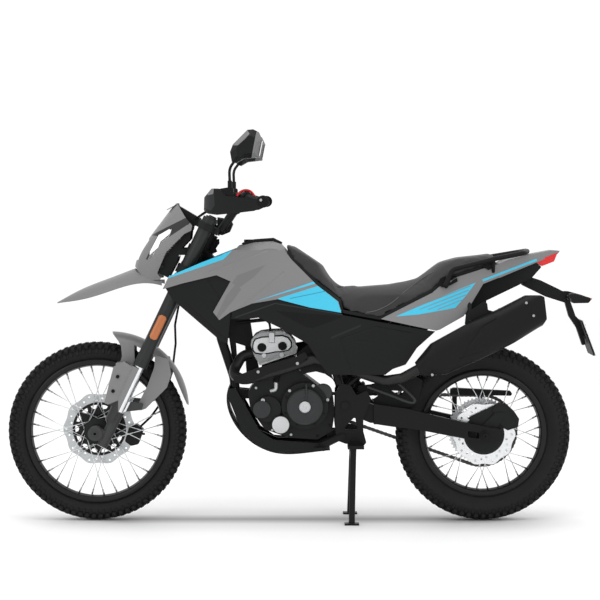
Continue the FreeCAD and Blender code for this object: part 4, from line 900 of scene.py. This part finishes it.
def wave_disc(name, x, z, r, inner, y, body, node, arms, carrier_inner, hub_hole):
    """Scalloped brake disc with drilled holes, and its dark carrier with windows."""
    outer, steps = [], 180
    for i in range(steps):
        a = 2 * math.pi * i / steps
        outer.append(around(x, z, r - WAVE_DEPTH + WAVE_DEPTH * math.cos(WAVES * a), a))
    holes = [circle(x, z, inner, 72)]
    for i in range(DRILLED):
        track = (r + inner) / 2 + DRILL_TRACKS[i % 3]
        holes.append(circle(*around(x, z, track, 2 * math.pi * i / DRILLED), DRILL_R, 12))
    disc = cut_plate(name, outer, holes, y, DISC_THICK)
    dress(crisp(disc), CARRIED[node], body, [node])
    wide = 0.64 * math.pi / arms
    window = [(inner - 6, -wide), (inner - 5, 0.0), (inner - 6, wide), (carrier_inner + 4, wide * 0.8),
              (carrier_inner, 0.0), (carrier_inner + 4, -wide * 0.8)]
    windows = [circle(x, z, hub_hole, 48)]
    for i in range(arms):
        windows.append([around(x, z, q, 2 * math.pi * i / arms + turn) for q, turn in window])
    carrier = cut_plate(name + "_carrier", circle(x, z, inner + 4, 96), windows, y, DISC_THICK + 2)
    dress(crisp(carrier), gloss_black, body)


def wheels():
    """Both wheels with their tyres and discs, and the cover of the rear hub."""
    front, rear = "front_wheel_body", "rear_wheel_body"
    front_side, rear_side, chain_side = FRONT_DISC_Y - 3.2, REAR_DISC_Y + 2.5, CHAIN_Y - 3.4
    front_hub = [
        (AXLE_BORE, -46), (24, -46), (26, -36), (47, -34), (47, -28), (30, -22), (26, -10), (26, 10),
        (30, 22), (47, 28), (47, 34), (38, 36), (38, front_side), (AXLE_BORE, front_side)]
    rear_hub = [
        (AXLE_BORE, rear_side), (52, rear_side), (52, -44), (57, -40), (57, -34), (38, -26), (34, -10),
        (34, 10), (38, 26), (57, 32), (57, 40), (48, 44), (48, chain_side), (AXLE_BORE, chain_side)]
    wheel("front", FRONT_X, FRONT_R, FRONT_BEAD, 20, 44, 31, front_hub, front, "front_wheel")
    wheel("rear", REAR_X, REAR_R, REAR_BEAD, 24, 53, 36, rear_hub, rear, "rear_wheel")
    front_lip, rear_lip = FRONT_BEAD + BEAD_GAP, REAR_BEAD + BEAD_GAP
    tyre("front_knobbly", FRONT_X, FRONT_R, 44.0, front_lip, 19, front_rubber, front, "front_tyre", 78)
    tyre("rear_knobbly", REAR_X, REAR_R, 53.0, rear_lip, 23, rear_rubber, rear, "rear_tyre", 72)
    wave_disc("front_wave_disc", FRONT_X, FRONT_R, 132.5, 94, FRONT_DISC_Y, front, "front_disc", 14, 74, 24)
    wave_disc("rear_wave_disc", REAR_X, REAR_R, 114.0, 70, REAR_DISC_Y, rear, "rear_disc", 6, 42, 26)
    inner, outer = REAR_DISC_Y - 3.2, REAR_DISC_Y - 8
    turned_piece("rear_hub_cover", REAR_X, REAR_R, [(30, outer), (58, outer + 1.5), (66, inner), (30, inner)],
                 cast_dark, rear)


# Chain

LINK_R, LINK_WAIST, LINK_PLATE = 6.4, 5.0, 0.7
PIN_R, PIN_REACH = 4.4, 7.4


def chain():
    """Links round both chain wheels, along the pitch line."""
    run = math.hypot(REAR_X - OUTPUT_X, REAR_R - OUTPUT_Z)
    tilt = math.atan2(REAR_R - OUTPUT_Z, REAR_X - OUTPUT_X)
    spread = math.asin((SPROCKET_R - OUTPUT_R) / run)
    top = tilt + math.pi / 2 + spread
    low = tilt - math.pi / 2 - spread
    rear_arc = (top - low) % (2 * math.pi)
    front_arc = 2 * math.pi - rear_arc
    points = [around(REAR_X, REAR_R, SPROCKET_R, top - rear_arc * i / 60) for i in range(61)]
    points += [around(OUTPUT_X, OUTPUT_Z, OUTPUT_R, low - front_arc * i / 24) for i in range(25)]
    total = 2 * run * math.cos(spread) + SPROCKET_R * rear_arc + OUTPUT_R * front_arc
    links = round(total / PITCH / 2) * 2
    curve = bpy.data.curves.new("chain_path", "CURVE")
    curve.dimensions = "3D"
    spline = curve.splines.new("POLY")
    spline.points.add(len(points) - 1)
    for point, (x, z) in zip(spline.points, points):
        point.co = (x * MM, CHAIN_Y * MM, z * MM, 1.0)
    spline.use_cyclic_u = True
    path = link(bpy.data.objects.new("chain_path", curve))
    outer, inner = chain_item("outer_link", 7.2), chain_item("inner_link", 4.6)
    values = {"Outer": outer, "Inner": inner, "Links": links, "Material": chain_steel.material}
    made = grow(LINKS, "chain_links", values, path)
    bpy.data.objects.remove(outer)
    bpy.data.objects.remove(inner)
    dress(crisp(made), chain_steel, "chassis", ["chain"])


def chain_item(name, y):
    """Two waisted plates at y to either side, and the pins between them."""
    shape = []
    for cx, first, waist in ((PITCH / 2, -math.pi / 2, LINK_WAIST), (-PITCH / 2, math.pi / 2, -LINK_WAIST)):
        shape += [around(cx, 0.0, LINK_R, first + math.pi * i / 6) for i in range(7)]
        shape.append((0.0, waist))
    parts = [prism("plate", shape, s * (y - LINK_PLATE), s * (y + LINK_PLATE)) for s in (-1, 1)]
    for cx in (-PITCH / 2, PITCH / 2):
        parts.append(prism("pin", circle(cx, 0.0, PIN_R, 8), -PIN_REACH, PIN_REACH))
    return joined(name, parts)


def prism(name, outline, y0, y1):
    """An outline of (x, z) points drawn out across the bike."""
    n = len(outline)
    verts = [(x, y, z) for y in (y0, y1) for x, z in outline]
    faces = [tuple(range(n)), tuple(range(n, 2 * n))[::-1]]
    faces += [(i, (i + 1) % n, n + (i + 1) % n, n + i) for i in range(n)]
    return mesh_of(name, verts, faces, False)


# Seat

CLOTH_FRAMES = 20
CUSHION_CELL, CUSHION_SLACK, CUSHION_LIMIT = 0.006, 0.003, 0.005
SEAM = [
    (150, 786), (175, 772), (202, 765), (230, 762), (259, 765), (288, 776), (316, 790), (345, 812),
    (373, 836), (402, 857), (430, 876), (462, 897), (490, 912)]


def puffed_seat():
    """The seat: the CAD form remeshed, filled by cloth pressure and smoothed."""
    mesh = nodes["seat"].data.copy()
    bm = bmesh.new()
    bm.from_mesh(mesh)
    bmesh.ops.remove_doubles(bm, verts=bm.verts, dist=0.0002)
    bmesh.ops.recalc_face_normals(bm, faces=bm.faces)
    bm.to_mesh(mesh)
    bm.free()
    obj = link(bpy.data.objects.new("seat_cushion", mesh))
    even = obj.modifiers.new("even", "REMESH")
    even.mode = "VOXEL"
    even.voxel_size = CUSHION_CELL
    obj = settled(obj)
    smooth = obj.modifiers.new("ease", "SMOOTH")
    smooth.factor = 0.5
    smooth.iterations = 8
    obj = settled(obj)
    start = [v.co.copy() for v in obj.data.vertices]
    normals = [v.normal.copy() for v in obj.data.vertices]
    for v, normal in zip(obj.data.vertices, normals):
        v.co -= normal * CUSHION_SLACK
    fill(obj, start)
    finer = obj.modifiers.new("finer", "SUBSURF")
    finer.levels = finer.render_levels = 1
    obj = settled(obj)
    obj.data.shade_smooth()
    dress(obj, vinyl, "chassis", ["seat"])
    return obj


def fill(obj, start):
    """Blows the cushion up from within, each point by no more than a limit from where it started."""
    cloth = obj.modifiers.new("fill", "CLOTH")
    cloth.settings.use_pressure = True
    cloth.settings.uniform_pressure_force = 4.0
    cloth.settings.effector_weights.gravity = 0.0
    cloth.settings.quality = 5
    cloth.point_cache.frame_start = 1
    cloth.point_cache.frame_end = CLOTH_FRAMES
    for number in range(1, CLOTH_FRAMES + 1):
        bpy.context.scene.frame_set(number)
    graph = bpy.context.evaluated_depsgraph_get()
    pushed = [v.co.copy() for v in obj.evaluated_get(graph).data.vertices]
    obj.modifiers.remove(cloth)
    bpy.context.scene.frame_set(1)
    for v, end, begin in zip(obj.data.vertices, pushed, start):
        step = end - begin
        if step.length > CUSHION_LIMIT:
            step = step.normalized() * CUSHION_LIMIT
        v.co = begin + step


def seat_welts(seat):
    """The welts along the seams of the seat's sides, laid on the finished cushion."""
    tree = surface(seat)
    for s, side in SIDES:
        found = [lay_on(tree, x, z, s) for x, z in SEAM]
        points = [tuple(c / MM for c in hit + normal * 0.0004) for hit, normal in filter(None, found)]
        if len(points) > 3:
            line = pipe("seat_welt_" + side, points, 1.7)
            dress(line, welt, "chassis")


# Makers of single pieces

def turned_piece(name, x, z, profile, finish, body="chassis", steps=64):
    return dress(crisp(turned(name, profile, x, z, steps)), finish, body)


def plate_piece(name, outline, y, thick, bevel, finish, body="chassis", holes=(), angle=35.0):
    return dress(crisp(cut_plate(name, outline, holes, y, thick, bevel), angle), finish, body)


def pipe_piece(name, points, r, finish, body="chassis", steps=12):
    return dress(pipe(name, points, r, steps), finish, body)


def quad_sheet(name, corners, finish, body, thick=1.5):
    """A thin plate through four corners in millimetres."""
    made = mesh_of(name, corners, [(0, 1, 2, 3)], False)
    wall = made.modifiers.new("wall", "SOLIDIFY")
    wall.thickness = thick * MM
    wall.offset = 0.0
    return dress(settled(made), finish, body)


def rounded_block(name, low, high, width, finish, body):
    """A box from corner to corner in millimetres with rounded edges."""
    verts = [(x, y, z) for x in (low[0], high[0]) for y in (low[1], high[1]) for z in (low[2], high[2])]
    faces = [(0, 1, 3, 2), (4, 6, 7, 5), (0, 4, 5, 1), (2, 3, 7, 6), (0, 2, 6, 4), (1, 5, 7, 3)]
    return dress(crisp(bevelled(mesh_of(name, verts, faces, False), width, 3)), finish, body)


def surface(obj):
    """A tree for casting rays at an object."""
    corners = [obj.matrix_world @ v.co for v in obj.data.vertices]
    return BVHTree.FromPolygons(corners, [tuple(f.vertices) for f in obj.data.polygons])


def lay_on(tree, x, z, side):
    """The point of a surface at (x, z) millimetres seen from one side, and the way it faces."""
    hit, normal = tree.ray_cast(Vector((x, side * 400, z)) * MM, Vector((0, -side, 0)))[:2]
    return (hit, normal) if hit else None


def laid_plate(name, tree, outline, side, lift, thick):
    """A plate that follows a surface: its outline of (x, z) corners, laid on from one side."""
    flat = bmesh.new()
    flat.faces.new([flat.verts.new((x, 0.0, z)) for x, z in outline])
    bmesh.ops.triangulate(flat, faces=flat.faces)
    bmesh.ops.subdivide_edges(flat, edges=flat.edges, cuts=3, use_grid_fill=True)
    flat.verts.index_update()
    laid = []
    for v in flat.verts:
        found = lay_on(tree, v.co.x, v.co.z, side)
        if not found:
            hit = tree.find_nearest(Vector((v.co.x, side * 90, v.co.z)) * MM)[0]
            found = Vector((v.co.x * MM, hit.y, v.co.z * MM)), Vector((0, side, 0))
        laid.append(found)
    count = len(laid)
    verts = [tuple(hit / MM + normal * drop) for drop in (lift, lift - thick) for hit, normal in laid]
    faces = []
    for face in flat.faces:
        corners = [v.index for v in face.verts]
        faces += [corners, [count + i for i in reversed(corners)]]
    for edge in flat.edges:
        if edge.is_boundary:
            a, b = (v.index for v in edge.verts)
            faces.append([a, b, count + b, count + a])
    flat.free()
    return crisp(mesh_of(name, verts, faces))


def at_fork(u, y, w):
    """A point of the fork's own frame in the bike's."""
    return (STEER_X + u * COS + w * SIN, y, FRONT_R - u * SIN + w * COS)


# Screws

SCREW_RINGS = [(1.0, -0.3), (1.0, 0.55), (0.86, 0.75), (0.5, 0.75), (0.46, 0.3)]
FACING = {
    "+x": (0.0, math.pi / 2, 0.0), "-y": (math.pi / 2, 0.0, 0.0), "+y": (-math.pi / 2, 0.0, 0.0),
    "+z": (0.0, 0.0, 0.0)}
CLAMP_BOLTS = [(29.5, -45), (29.5, 45), (57.5, -45), (57.5, 45)]
CLAMP_TOP_W = 933


def screws(name, places, finish, body="chassis"):
    """Heads with a socket in them, at (x, y, z, radius, facing) places."""
    mesh = bpy.data.meshes.new(name)
    mesh.from_pydata([(x * MM, y * MM, z * MM) for x, y, z, *_ in places], [], [])
    mesh.attributes.new("turn", "FLOAT_VECTOR", "POINT")
    mesh.attributes.new("size", "FLOAT", "POINT")
    for i, (*_, r, way) in enumerate(places):
        mesh.attributes["turn"].data[i].vector = FACING[way]
        mesh.attributes["size"].data[i].value = r
    head = round_item("screw", SCREW_RINGS, 12)
    carrier = link(bpy.data.objects.new(name, mesh))
    made = grow(STUDS, name, {"Item": head, "Material": finish.material}, carrier)
    bpy.data.objects.remove(head)
    dress(crisp(made, 30), finish, body)


def facing(way, places):
    return [(*place, way) for place in places]


def both_sides(places):
    """The same places on both sides of the bike."""
    return [(x, s * y, z, r, "+y" if s > 0 else "-y") for x, y, z, r in places for s in (-1, 1)]


def bolt_circle(x, y, z, radius, size, angles):
    return [(x + radius * math.cos(a), y, z + radius * math.sin(a), size) for a in angles]


def fittings():
    """The screws and nuts that hold the covers, shields, guards, clamps, plate and rear axle."""
    screws("engine_screws", facing("-y", [
        (-162, -78.5, 487, 5), (-137, -100.5, 444, 8), (-41, -104.5, 479, 6), (44, -104.5, 497, 6),
        (96, -100.5, 446, 6), (-104, -78.5, 334, 5), (-36, -78.5, 318, 5)]), zinc)
    rim = bolt_circle(14, -104.3, 424, 75, 4, (0.2, 2.7, 3.5, 4.3, 5.2, 5.9))
    foot = [(60, -78.5, 314, 5), (104, -78.5, 352, 5)]
    screws("cover_screws", facing("-y", foot + rim), black_steel)
    screws("shield_screws", facing("-y", [(-153, -157.2, 551, 6), (-13, -157.2, 581, 6)]), zinc)
    rim = bolt_circle(14, 92.2, 424, 55, 5, (0.4, 1.5, 2.6, 3.7, 4.7, 5.7))
    screws("far_engine_screws", facing("+y", rim), zinc)
    screws("muffler_screws", facing("-y", [
        (464.5, -216.5, 545, 5), (822, -222.4, 755, 5), (796, -222.6, 800, 5)]), zinc)
    mudguard = [(-657, 122.2, 531, 6.5), (-674, 122.2, 479, 6.5), (-579, 66.4, 420, 6.5)]
    screws("mudguard_screws", both_sides(mudguard), black_steel, "steering")
    screws("guard_screws", both_sides([(-262, 208, 1160, 5)]), zinc, "steering")
    clamp = [(*at_fork(u, y, CLAMP_TOP_W), 5) for u, y in CLAMP_BOLTS]
    screws("clamp_screws", facing("+z", clamp), zinc, "steering")
    screws("plate_screws", facing("+x", [(1023, -60, 711, 5), (1023, 60, 711, 5)]), zinc)
    screws("axle_nuts", both_sides([(REAR_X, 122.2, REAR_R, 11)]), black_steel)


# Engine

CLUTCH_X, CLUTCH_Z = 14, 421
CLUTCH_RIM = [
    (21, -118.1), (21, -119.2), (34, -119.6), (36, -121), (46, -121.4), (54, -119.4), (59, -119), (62, -121),
    (64.6, -119), (64.6, -102), (21, -102)]
CLUTCH_HUB = [
    (0.2, -122.1), (0.2, -125), (6, -125), (8, -123.6), (17, -124.4), (20.4, -122), (20.4, -116), (0.2, -116)]
FILTER_CAP = [(0.2, -110.2), (0.2, -112), (26, -112.4), (30.4, -111), (31, -104), (0.2, -104)]
STARTER_CAP = [(0.2, -100.2), (0.2, -103), (24, -103.4), (30, -101.8), (32.4, -96), (0.2, -96)]
TIMING_CAP = [
    (0.2, -108.2), (0.2, -109.6), (9, -111), (11, -109.8), (26, -110.4), (31.2, -108.2), (31.4, -102),
    (0.2, -102)]
CAM_COVER = [
    (-172.8, 634.4), (-170.1, 650.9), (-163.2, 661.9), (-141.2, 668.8), (-116.4, 670.1), (-94.4, 672.9),
    (-67, 674.3), (-47.7, 667.4), (-36.7, 653.6), (-35.3, 637.2), (-45, 624.8), (-67, 619.3), (-94.4, 617.9),
    (-119.1, 612.4), (-143.9, 611), (-163.2, 613.8), (-171.4, 623.4)]
CAM_X, CAM_Z = -105, 643
CAM_PLUGS = [(-141, 632.5), (-66.4, 638.5)]
HEAD_BOSSES, BOSS_R = [(-132.9, 603), (-69.7, 606)], 9
HEAD_FLANGE = [
    (-181, 640), (-179, 660), (-166, 677), (-146, 687), (-111, 692), (-72, 693), (-42, 680), (-22, 654),
    (-12, 626), (-18, 612), (-150, 572), (-168, 600)]
HEAD_TAB = [(-116, 650), (-116, 684), (-112, 688), (-99, 688), (-95, 684), (-95, 650)]
INTAKE_COVER = [
    (22, 643), (58, 636), (102, 555), (127, 496), (113, 520), (87, 538), (54, 547), (21, 541), (3, 534),
    (-5, 558), (-16, 610)]
FRONT_HANGER = [
    (-273, 733), (-186, 733), (-178, 682), (-168, 617), (-153, 551), (-138, 508), (-197, 508), (-202, 573),
    (-204, 631), (-237, 642), (-233, 588), (-228, 529), (-248, 529), (-255, 610)]


def engine_covers():
    """The round covers on the muffler side of the case."""
    turned_piece("clutch_cover", CLUTCH_X, CLUTCH_Z, CLUTCH_RIM, cover_grey, steps=96)
    turned_piece("clutch_hub", CLUTCH_X, CLUTCH_Z, CLUTCH_HUB, cast_silver)
    turned_piece("filter_cover", -73, 356, FILTER_CAP, cast_silver)
    turned_piece("starter_cover", 80, 472, STARTER_CAP, cover_grey)
    turned_piece("timing_cover", -141, 411, TIMING_CAP, cover_grey)


def head_side(s, side):
    """One side of the cylinder head: cam cover, a gasket widened into painted shade round the cover, flange,
    tab, bosses and plugs.
    """
    holes = [circle(x, z, 15.3, 24) for x, z in CAM_PLUGS]
    plate_piece(
        "cam_cover_" + side, CAM_COVER, s * 77.2, 4.6, 1.4, cast_silver, holes=holes, angle=50)
    # A dark rim wider than the cam cover under it: the gasket, widened so that it stands for the shade of the
    # recess round the cover (painted shade)
    wider = [(CAM_X + (x - CAM_X) * 1.055, CAM_Z + (z - CAM_Z) * 1.13) for x, z in CAM_COVER]
    plate_piece("cam_gasket_" + side, wider, s * 76.4, 1.6, 0.3, rubber)
    plate_piece("head_flange_" + side, HEAD_FLANGE, s * 73.5, 5.4, 1.4, head_alloy)
    plate_piece("head_tab_" + side, HEAD_TAB, s * 79, 9, 1.5, cast_silver, angle=50)
    boss = [(0.2, s * 72), (0.2, s * 80), (BOSS_R - 1.4, s * 80), (BOSS_R, s * 78.6), (BOSS_R, s * 72)]
    for k, (x, z) in enumerate(HEAD_BOSSES):
        turned_piece("head_boss_%s_%d" % (side, k), x, z, boss, cast_silver, steps=32)
    plug = [
        (0.2, s * 82.1), (0.2, s * 82.9), (6, s * 82.9), (7, s * 82.5), (14.4, s * 82.9), (15.1, s * 82.1),
        (15.1, s * 74), (0.2, s * 74)]
    for k, (x, z) in enumerate(CAM_PLUGS):
        turned_piece("cam_plug_%s_%d" % (side, k), x, z, plug, rubber, steps=32)


def engine_lines():
    """Breather, intake, plug lead and clutch arm, and the hangers that carry the engine in front."""
    breather = [(-90, -84, 512), (-90, -84, 494), (-90, -84, 484), (-98, -83, 478), (-110, -80, 476)]
    pipe_piece("breather_elbow", breather, 7.6, cast_silver)
    pipe_piece("breather_hose", [(-90, -84, 507), (-88, -84, 530), (-70, -70, 552)], 9.4, rubber)
    plate_piece("front_hanger", FRONT_HANGER, 30, 6, 1.0, black_steel)
    brace = [(-236, 30, 716), (-170, 28, 724), (-104, 26, 730)]
    pipe_piece("hanger_brace", brace, 7.0, black_steel)
    lead = [(-111, -36, 684), (-111, -36, 706), (-118, -10, 726), (-150, 20, 732)]
    pipe_piece("plug_lead", lead, 4.2, rubber)
    pipe_piece("intake_pipe", [(-20, 0, 618), (30, 0, 626), (96, 0, 640)], 27.0, rubber)
    plate_piece("intake_cover", INTAKE_COVER, -90, 4, 1.0, black_plastic)
    arm = [(19, -119, 503), (19, -124, 480), (19, -124, 462), (19, -121, 450)]
    pipe_piece("clutch_arm", arm, 3.4, cover_grey)


# Brackets and laid plates

MUFFLER_HANGER = [
    (588, 759), (652, 802), (664, 795), (667, 772), (689, 766), (707, 779), (698, 752), (667, 728),
    (610, 690), (584, 722)]
CALIPER_CARRIER = [
    (600, 378), (719, 435), (740, 430), (769, 402), (787, 375), (783, 345), (746, 333), (723, 345),
    (700, 330), (632, 352)]
REAR_WEB = [
    (205, 494), (252, 499), (329, 521), (417, 527), (440, 512), (424, 430), (390, 414), (263, 419),
    (263, 447), (279, 458), (263, 469), (230, 458), (208, 453)]
WEB_WINDOW = [(328, 476), (370, 474), (364, 461), (349, 461)]
FOOTREST_STAY = [
    (238, -118, 494), (330, -122, 461), (392, -124, 436), (410, -124, 440), (404, -124, 458),
    (326, -118, 527)]
SIDE_LENS = [(-540, 966), (-539, 977), (-508, 1034), (-460, 1063), (-468, 1041), (-501, 1014), (-510, 992)]
RAIL_FEET = [
    [(489, 860), (497, 882), (512, 890), (556, 893), (560, 872), (534, 858), (505, 851)],
    [(650, 925), (664, 934), (694, 936), (696, 923), (672, 912)],
]
SILENCER_SHIELD = [
    (420, 560), (466, 648), (600, 724), (637, 740), (690, 756), (690, 745), (637, 716), (606, 675),
    (575, 623), (549, 580), (523, 552), (472, 540), (430, 546)]


def brackets():
    """Muffler hanger, caliper carrier, inner web, footrest stay and the front caliper's bleed nipple."""
    plate_piece("muffler_hanger", MUFFLER_HANGER, -150, 6, 1.2, black_steel)
    bolts = [circle(716, 408, 5), circle(752, 352, 5)]
    plate_piece("caliper_carrier", CALIPER_CARRIER, -77.5, 4, 0.8, cast_dark, holes=bolts)
    plate_piece("rear_web", REAR_WEB, -64, 4, 1.0, black_plastic, holes=[WEB_WINDOW])
    pipe_piece("footrest_stay", FOOTREST_STAY, 5.5, cover_grey)
    nipple = [(-590, 75, 304), (-582, 75, 304), (-574, 75, 304)]
    pipe_piece("bleed_nipple", nipple, 4.0, rubber, "steering")


def laid_pieces():
    """The lamp's side lenses, the grab rail's rubber feet and the silencer's shield, laid on their shells."""
    lamp, shell = surface(nodes["headlamp"]), surface(nodes["tail_cowl"])
    shield = laid_plate("silencer_shield", surface(nodes["muffler"]), SILENCER_SHIELD, -1, 3.0, 3.0)
    dress(shield, black_steel, "chassis")
    for s, side in SIDES:
        # The side lenses' near-white colour is painted reflection.
        glass = laid_plate("lamp_lens_" + side, lamp, SIDE_LENS, s, 7.2, 2.0)
        dress(glass, side_lens, "steering")
        for k, outline in enumerate(RAIL_FEET):
            foot = laid_plate("rail_foot_%s_%d" % (side, k), shell, outline, s, 7.0, 7.0)
            dress(foot, rubber, "chassis")


# Cockpit

BAR_END = [(0.2, 425), (8, 427), (18, 426), (21.5, 422), (21.5, 408), (0.2, 408)]
SWITCH_RIM = [
    (-224, -268, 1178), (-216, -268, 1192), (-192, -268, 1200), (-170, -268, 1191), (-161, -268, 1172)]
SWITCH_CAP = [(0.2, -284), (10, -283), (15, -279), (16, -262), (0.2, -262)]
BAR_CLAMP = [(-302, 1101), (-256, 1093), (-246, 1075), (-258, 1047), (-284, 1036), (-304, 1040)]
HEAD_BOOT = [(-332, 1018), (-297, 1022), (-296, 1006), (-309, 988), (-304, 976), (-332, 962)]
DIAL_SLOPE = math.radians(30.8)


def across_quad(low, high, y0, y1):
    """Four corners between two edges, each at its (x, z), that run across the bike from y0 to y1."""
    (x0, z0), (x1, z1) = low, high
    return [(x0, y0, z0), (x0, y1, z0), (x1, y1, z1), (x1, y0, z1)]


def cockpit():
    """Mirror glass, bar ends, switches, clamp cover, head boot, the dial's face and the small screen."""
    for s, side in SIDES:
        low, high = (-144.8, 1317), (-134.6, 1368)
        glass = across_quad(low, high, s * 268, s * 364)
        quad_sheet("mirror_glass_" + side, glass, mirror_glass, "steering", 0.8)
        cap = [(r, s * y) for r, y in BAR_END]
        turned_piece("bar_end_" + side, -131, 1158, cap, rubber, "steering", 40)
    screws("bar_end_screws", both_sides([(-138, 426.4, 1163, 5)]), zinc, "steering")
    pipe_piece("switch_rim", SWITCH_RIM, 4.2, red_switch, "steering")
    turned_piece("switch_cap", -191, 1178, SWITCH_CAP, black_plastic, "steering", 32)
    low, high = (-214, 254, 1186), (-190, 274, 1197)
    rounded_block("far_switch", low, high, 3.0, black_plastic, "steering")
    plate_piece("bar_clamp_cover", BAR_CLAMP, 0, 74, 5, black_plastic, "steering")
    plate_piece("head_boot", HEAD_BOOT, 0, 36, 4, rubber)
    screen = across_quad((-484, 1128), (-441, 1151), -46, 46)
    quad_sheet("fly_screen", screen, screen_glass, "steering", 2.0)
    nx, nz = math.sin(DIAL_SLOPE), math.cos(DIAL_SLOPE)
    face = across_quad((-440 + nx, 1142 + nz), (-368 + nx, 1099.6 + nz), -54, 54)
    quad_sheet("dial_face", face, dial_glass, "steering", 1.6)


# Spring, lenses and reflectors

SHOCK_LOW, SHOCK_TOP = Vector((272, 0, 404)), Vector((70, 0, 630))
SPRING_R, SPRING_WIRE, SPRING_TURNS = 29, 5.0, 6.5
SPRING_FOOT, SPRING_SHARE = 0.25, 0.6
# Rows of the fork reflector: height above its foot and half width
REFLECTOR_ROWS = [(0, 4), (2, 8), (5, 11), (9, 13), (85, 13), (89, 11), (92, 8), (94, 4)]
REFLECTOR_W, REFLECTOR_WALL, REFLECTOR_OUT, REFLECTOR_BEND = 367, 6, 29.5, 0.02


def rear_spring():
    """The coil spring round the rear shock."""
    axis = SHOCK_TOP - SHOCK_LOW
    length = axis.length
    axis.normalize()
    side = Vector((0, 1, 0))
    up = axis.cross(side)
    points = []
    steps = 16
    for i in range(int(SPRING_TURNS * steps) + 1):
        a = 2 * math.pi * i / steps
        along = length * (SPRING_FOOT + SPRING_SHARE * i / (SPRING_TURNS * steps))
        out = side * (SPRING_R * math.cos(a)) + up * (SPRING_R * math.sin(a))
        points.append(tuple(SHOCK_LOW + axis * along + out))
    pipe_piece("shock_spring", points, SPRING_WIRE, spring_steel, steps=2)


def indicator_lenses():
    """Lenses of the rear indicators, standing just proud of their black pods."""
    for s, side in SIDES:
        face = across_quad((1029.5, 797), (1042.3, 811.5), s * 84, s * 116)
        quad_sheet("indicator_lens_" + side, face, amber_lens, "chassis", 3.0)


def reflectors():
    """Amber reflectors on the fork tubes, bent round them."""
    n = 10
    for s, side in ((-1, "right"), (1, "left")):
        verts, faces = [], []
        for w, half in REFLECTOR_ROWS:
            for i in range(n):
                t = -half + 2 * half * i / (n - 1)
                depth = REFLECTOR_OUT - REFLECTOR_BEND * t * t
                verts.append(at_fork(LEG_U + t, s * (LEG_Y + depth), REFLECTOR_W + w))
        for k in range(len(REFLECTOR_ROWS) - 1):
            for i in range(n - 1):
                faces.append((k * n + i, k * n + i + 1, (k + 1) * n + i + 1, (k + 1) * n + i))
        made = mesh_of("fork_reflector_" + side, verts, faces)
        wall = made.modifiers.new("wall", "SOLIDIFY")
        wall.thickness = REFLECTOR_WALL * MM
        wall.offset = -s
        dress(settled(made), reflector, "steering")


# Studio

PIXEL, PICTURE, DISTANCE, EYE_Z = 3.63, 600, 8000.0, 1163.4
HORIZON_ROW = 200
SENSOR = 36.0
# Lights: place, target, size in metres and power
LIGHTS = {
    "top light": ((0.0, -0.6, 4.2), (0.0, 0.0, 0.6), 3.2, 46.0),
    "front light": ((-3.4, -4.6, 2.8), (0.0, 0.0, 0.6), 2.4, 26.0),
    "rear light": ((3.6, -3.6, 2.4), (0.2, 0.0, 0.6), 2.0, 16.0),
}
FLOOR_HALF = 14
# Painted contact shadow on the floor: half the length of its even middle along x, and the reach of its wide
# and narrow steps
SHADOW_HALF, WIDE_SHADOW, NARROW_SHADOW = 620.0, 330.0, 120.0


def studio():
    """Camera, white surroundings and lights."""
    scene = bpy.context.scene
    camera = bpy.data.cameras.new("camera")
    camera.sensor_width = SENSOR
    camera.lens = SENSOR * DISTANCE / (PICTURE * PIXEL)
    eye = link(bpy.data.objects.new("camera", camera))
    eye.location = (-PIXEL * MM, -DISTANCE * MM, EYE_Z * MM)
    tilt = math.atan((PICTURE / 2 - HORIZON_ROW) * PIXEL / DISTANCE)
    eye.rotation_euler = (math.pi / 2 - tilt, 0.0, 0.0)
    scene.camera = eye
    scene.view_settings.view_transform = "Standard"
    scene.world = bpy.data.worlds.new("studio")
    scene.world.use_nodes = True
    background = scene.world.node_tree.nodes["Background"]
    background.inputs[0].default_value = (1.0, 1.0, 1.0, 1.0)
    background.inputs[1].default_value = 1.04
    for name, (place, target, size, power) in LIGHTS.items():
        light = bpy.data.lights.new(name, "AREA")
        light.shape = "SQUARE"
        light.size = size
        light.energy = power
        lamp = link(bpy.data.objects.new(name, light))
        lamp.location = place
        lamp.rotation_euler = (Vector(target) - Vector(place)).to_track_quat("-Z", "Y").to_euler()


def floor():
    """White paper floor with a painted contact shadow: darker in two soft steps along the line between the
    tyres' feet.
    """
    mesh = bpy.data.meshes.new("floor")
    h = FLOOR_HALF
    mesh.from_pydata([(-h, -h, 0), (h, -h, 0), (h, h, 0), (-h, h, 0)], [], [(0, 1, 2, 3)])
    sheet = link(bpy.data.objects.new("floor", mesh))
    f = Finish("studio floor", Roughness=0.6)
    x, y, _ = f.xyz()
    # Painted shadow: the floor's colour darkens in two steps towards the line between the tyres' feet.
    over = (abs(x) - SHADOW_HALF) * (abs(x) > SHADOW_HALF)
    away = (over * over * 0.64 + y * y) ** 0.5
    wide, narrow = 1.0 - away / WIDE_SHADOW, 1.0 - away / NARROW_SHADOW
    dark = wide * (wide > 0.0) * 0.28 + narrow * (narrow > 0.0) * 0.5
    paper = f.mix(f.noise(3.0, 2.0), (0.955, 0.955, 0.955), (0.975, 0.975, 0.975))
    f.colour(f.mix(dark, paper, (0.12, 0.12, 0.12)))
    sheet.data.materials.append(f.material)


studio()
floor()
wheels()
chain()
seat_welts(puffed_seat())
fittings()
reflectors()
engine_covers()
for s, side in SIDES:
    head_side(s, side)
engine_lines()
brackets()
laid_pieces()
cockpit()
rear_spring()
indicator_lenses()
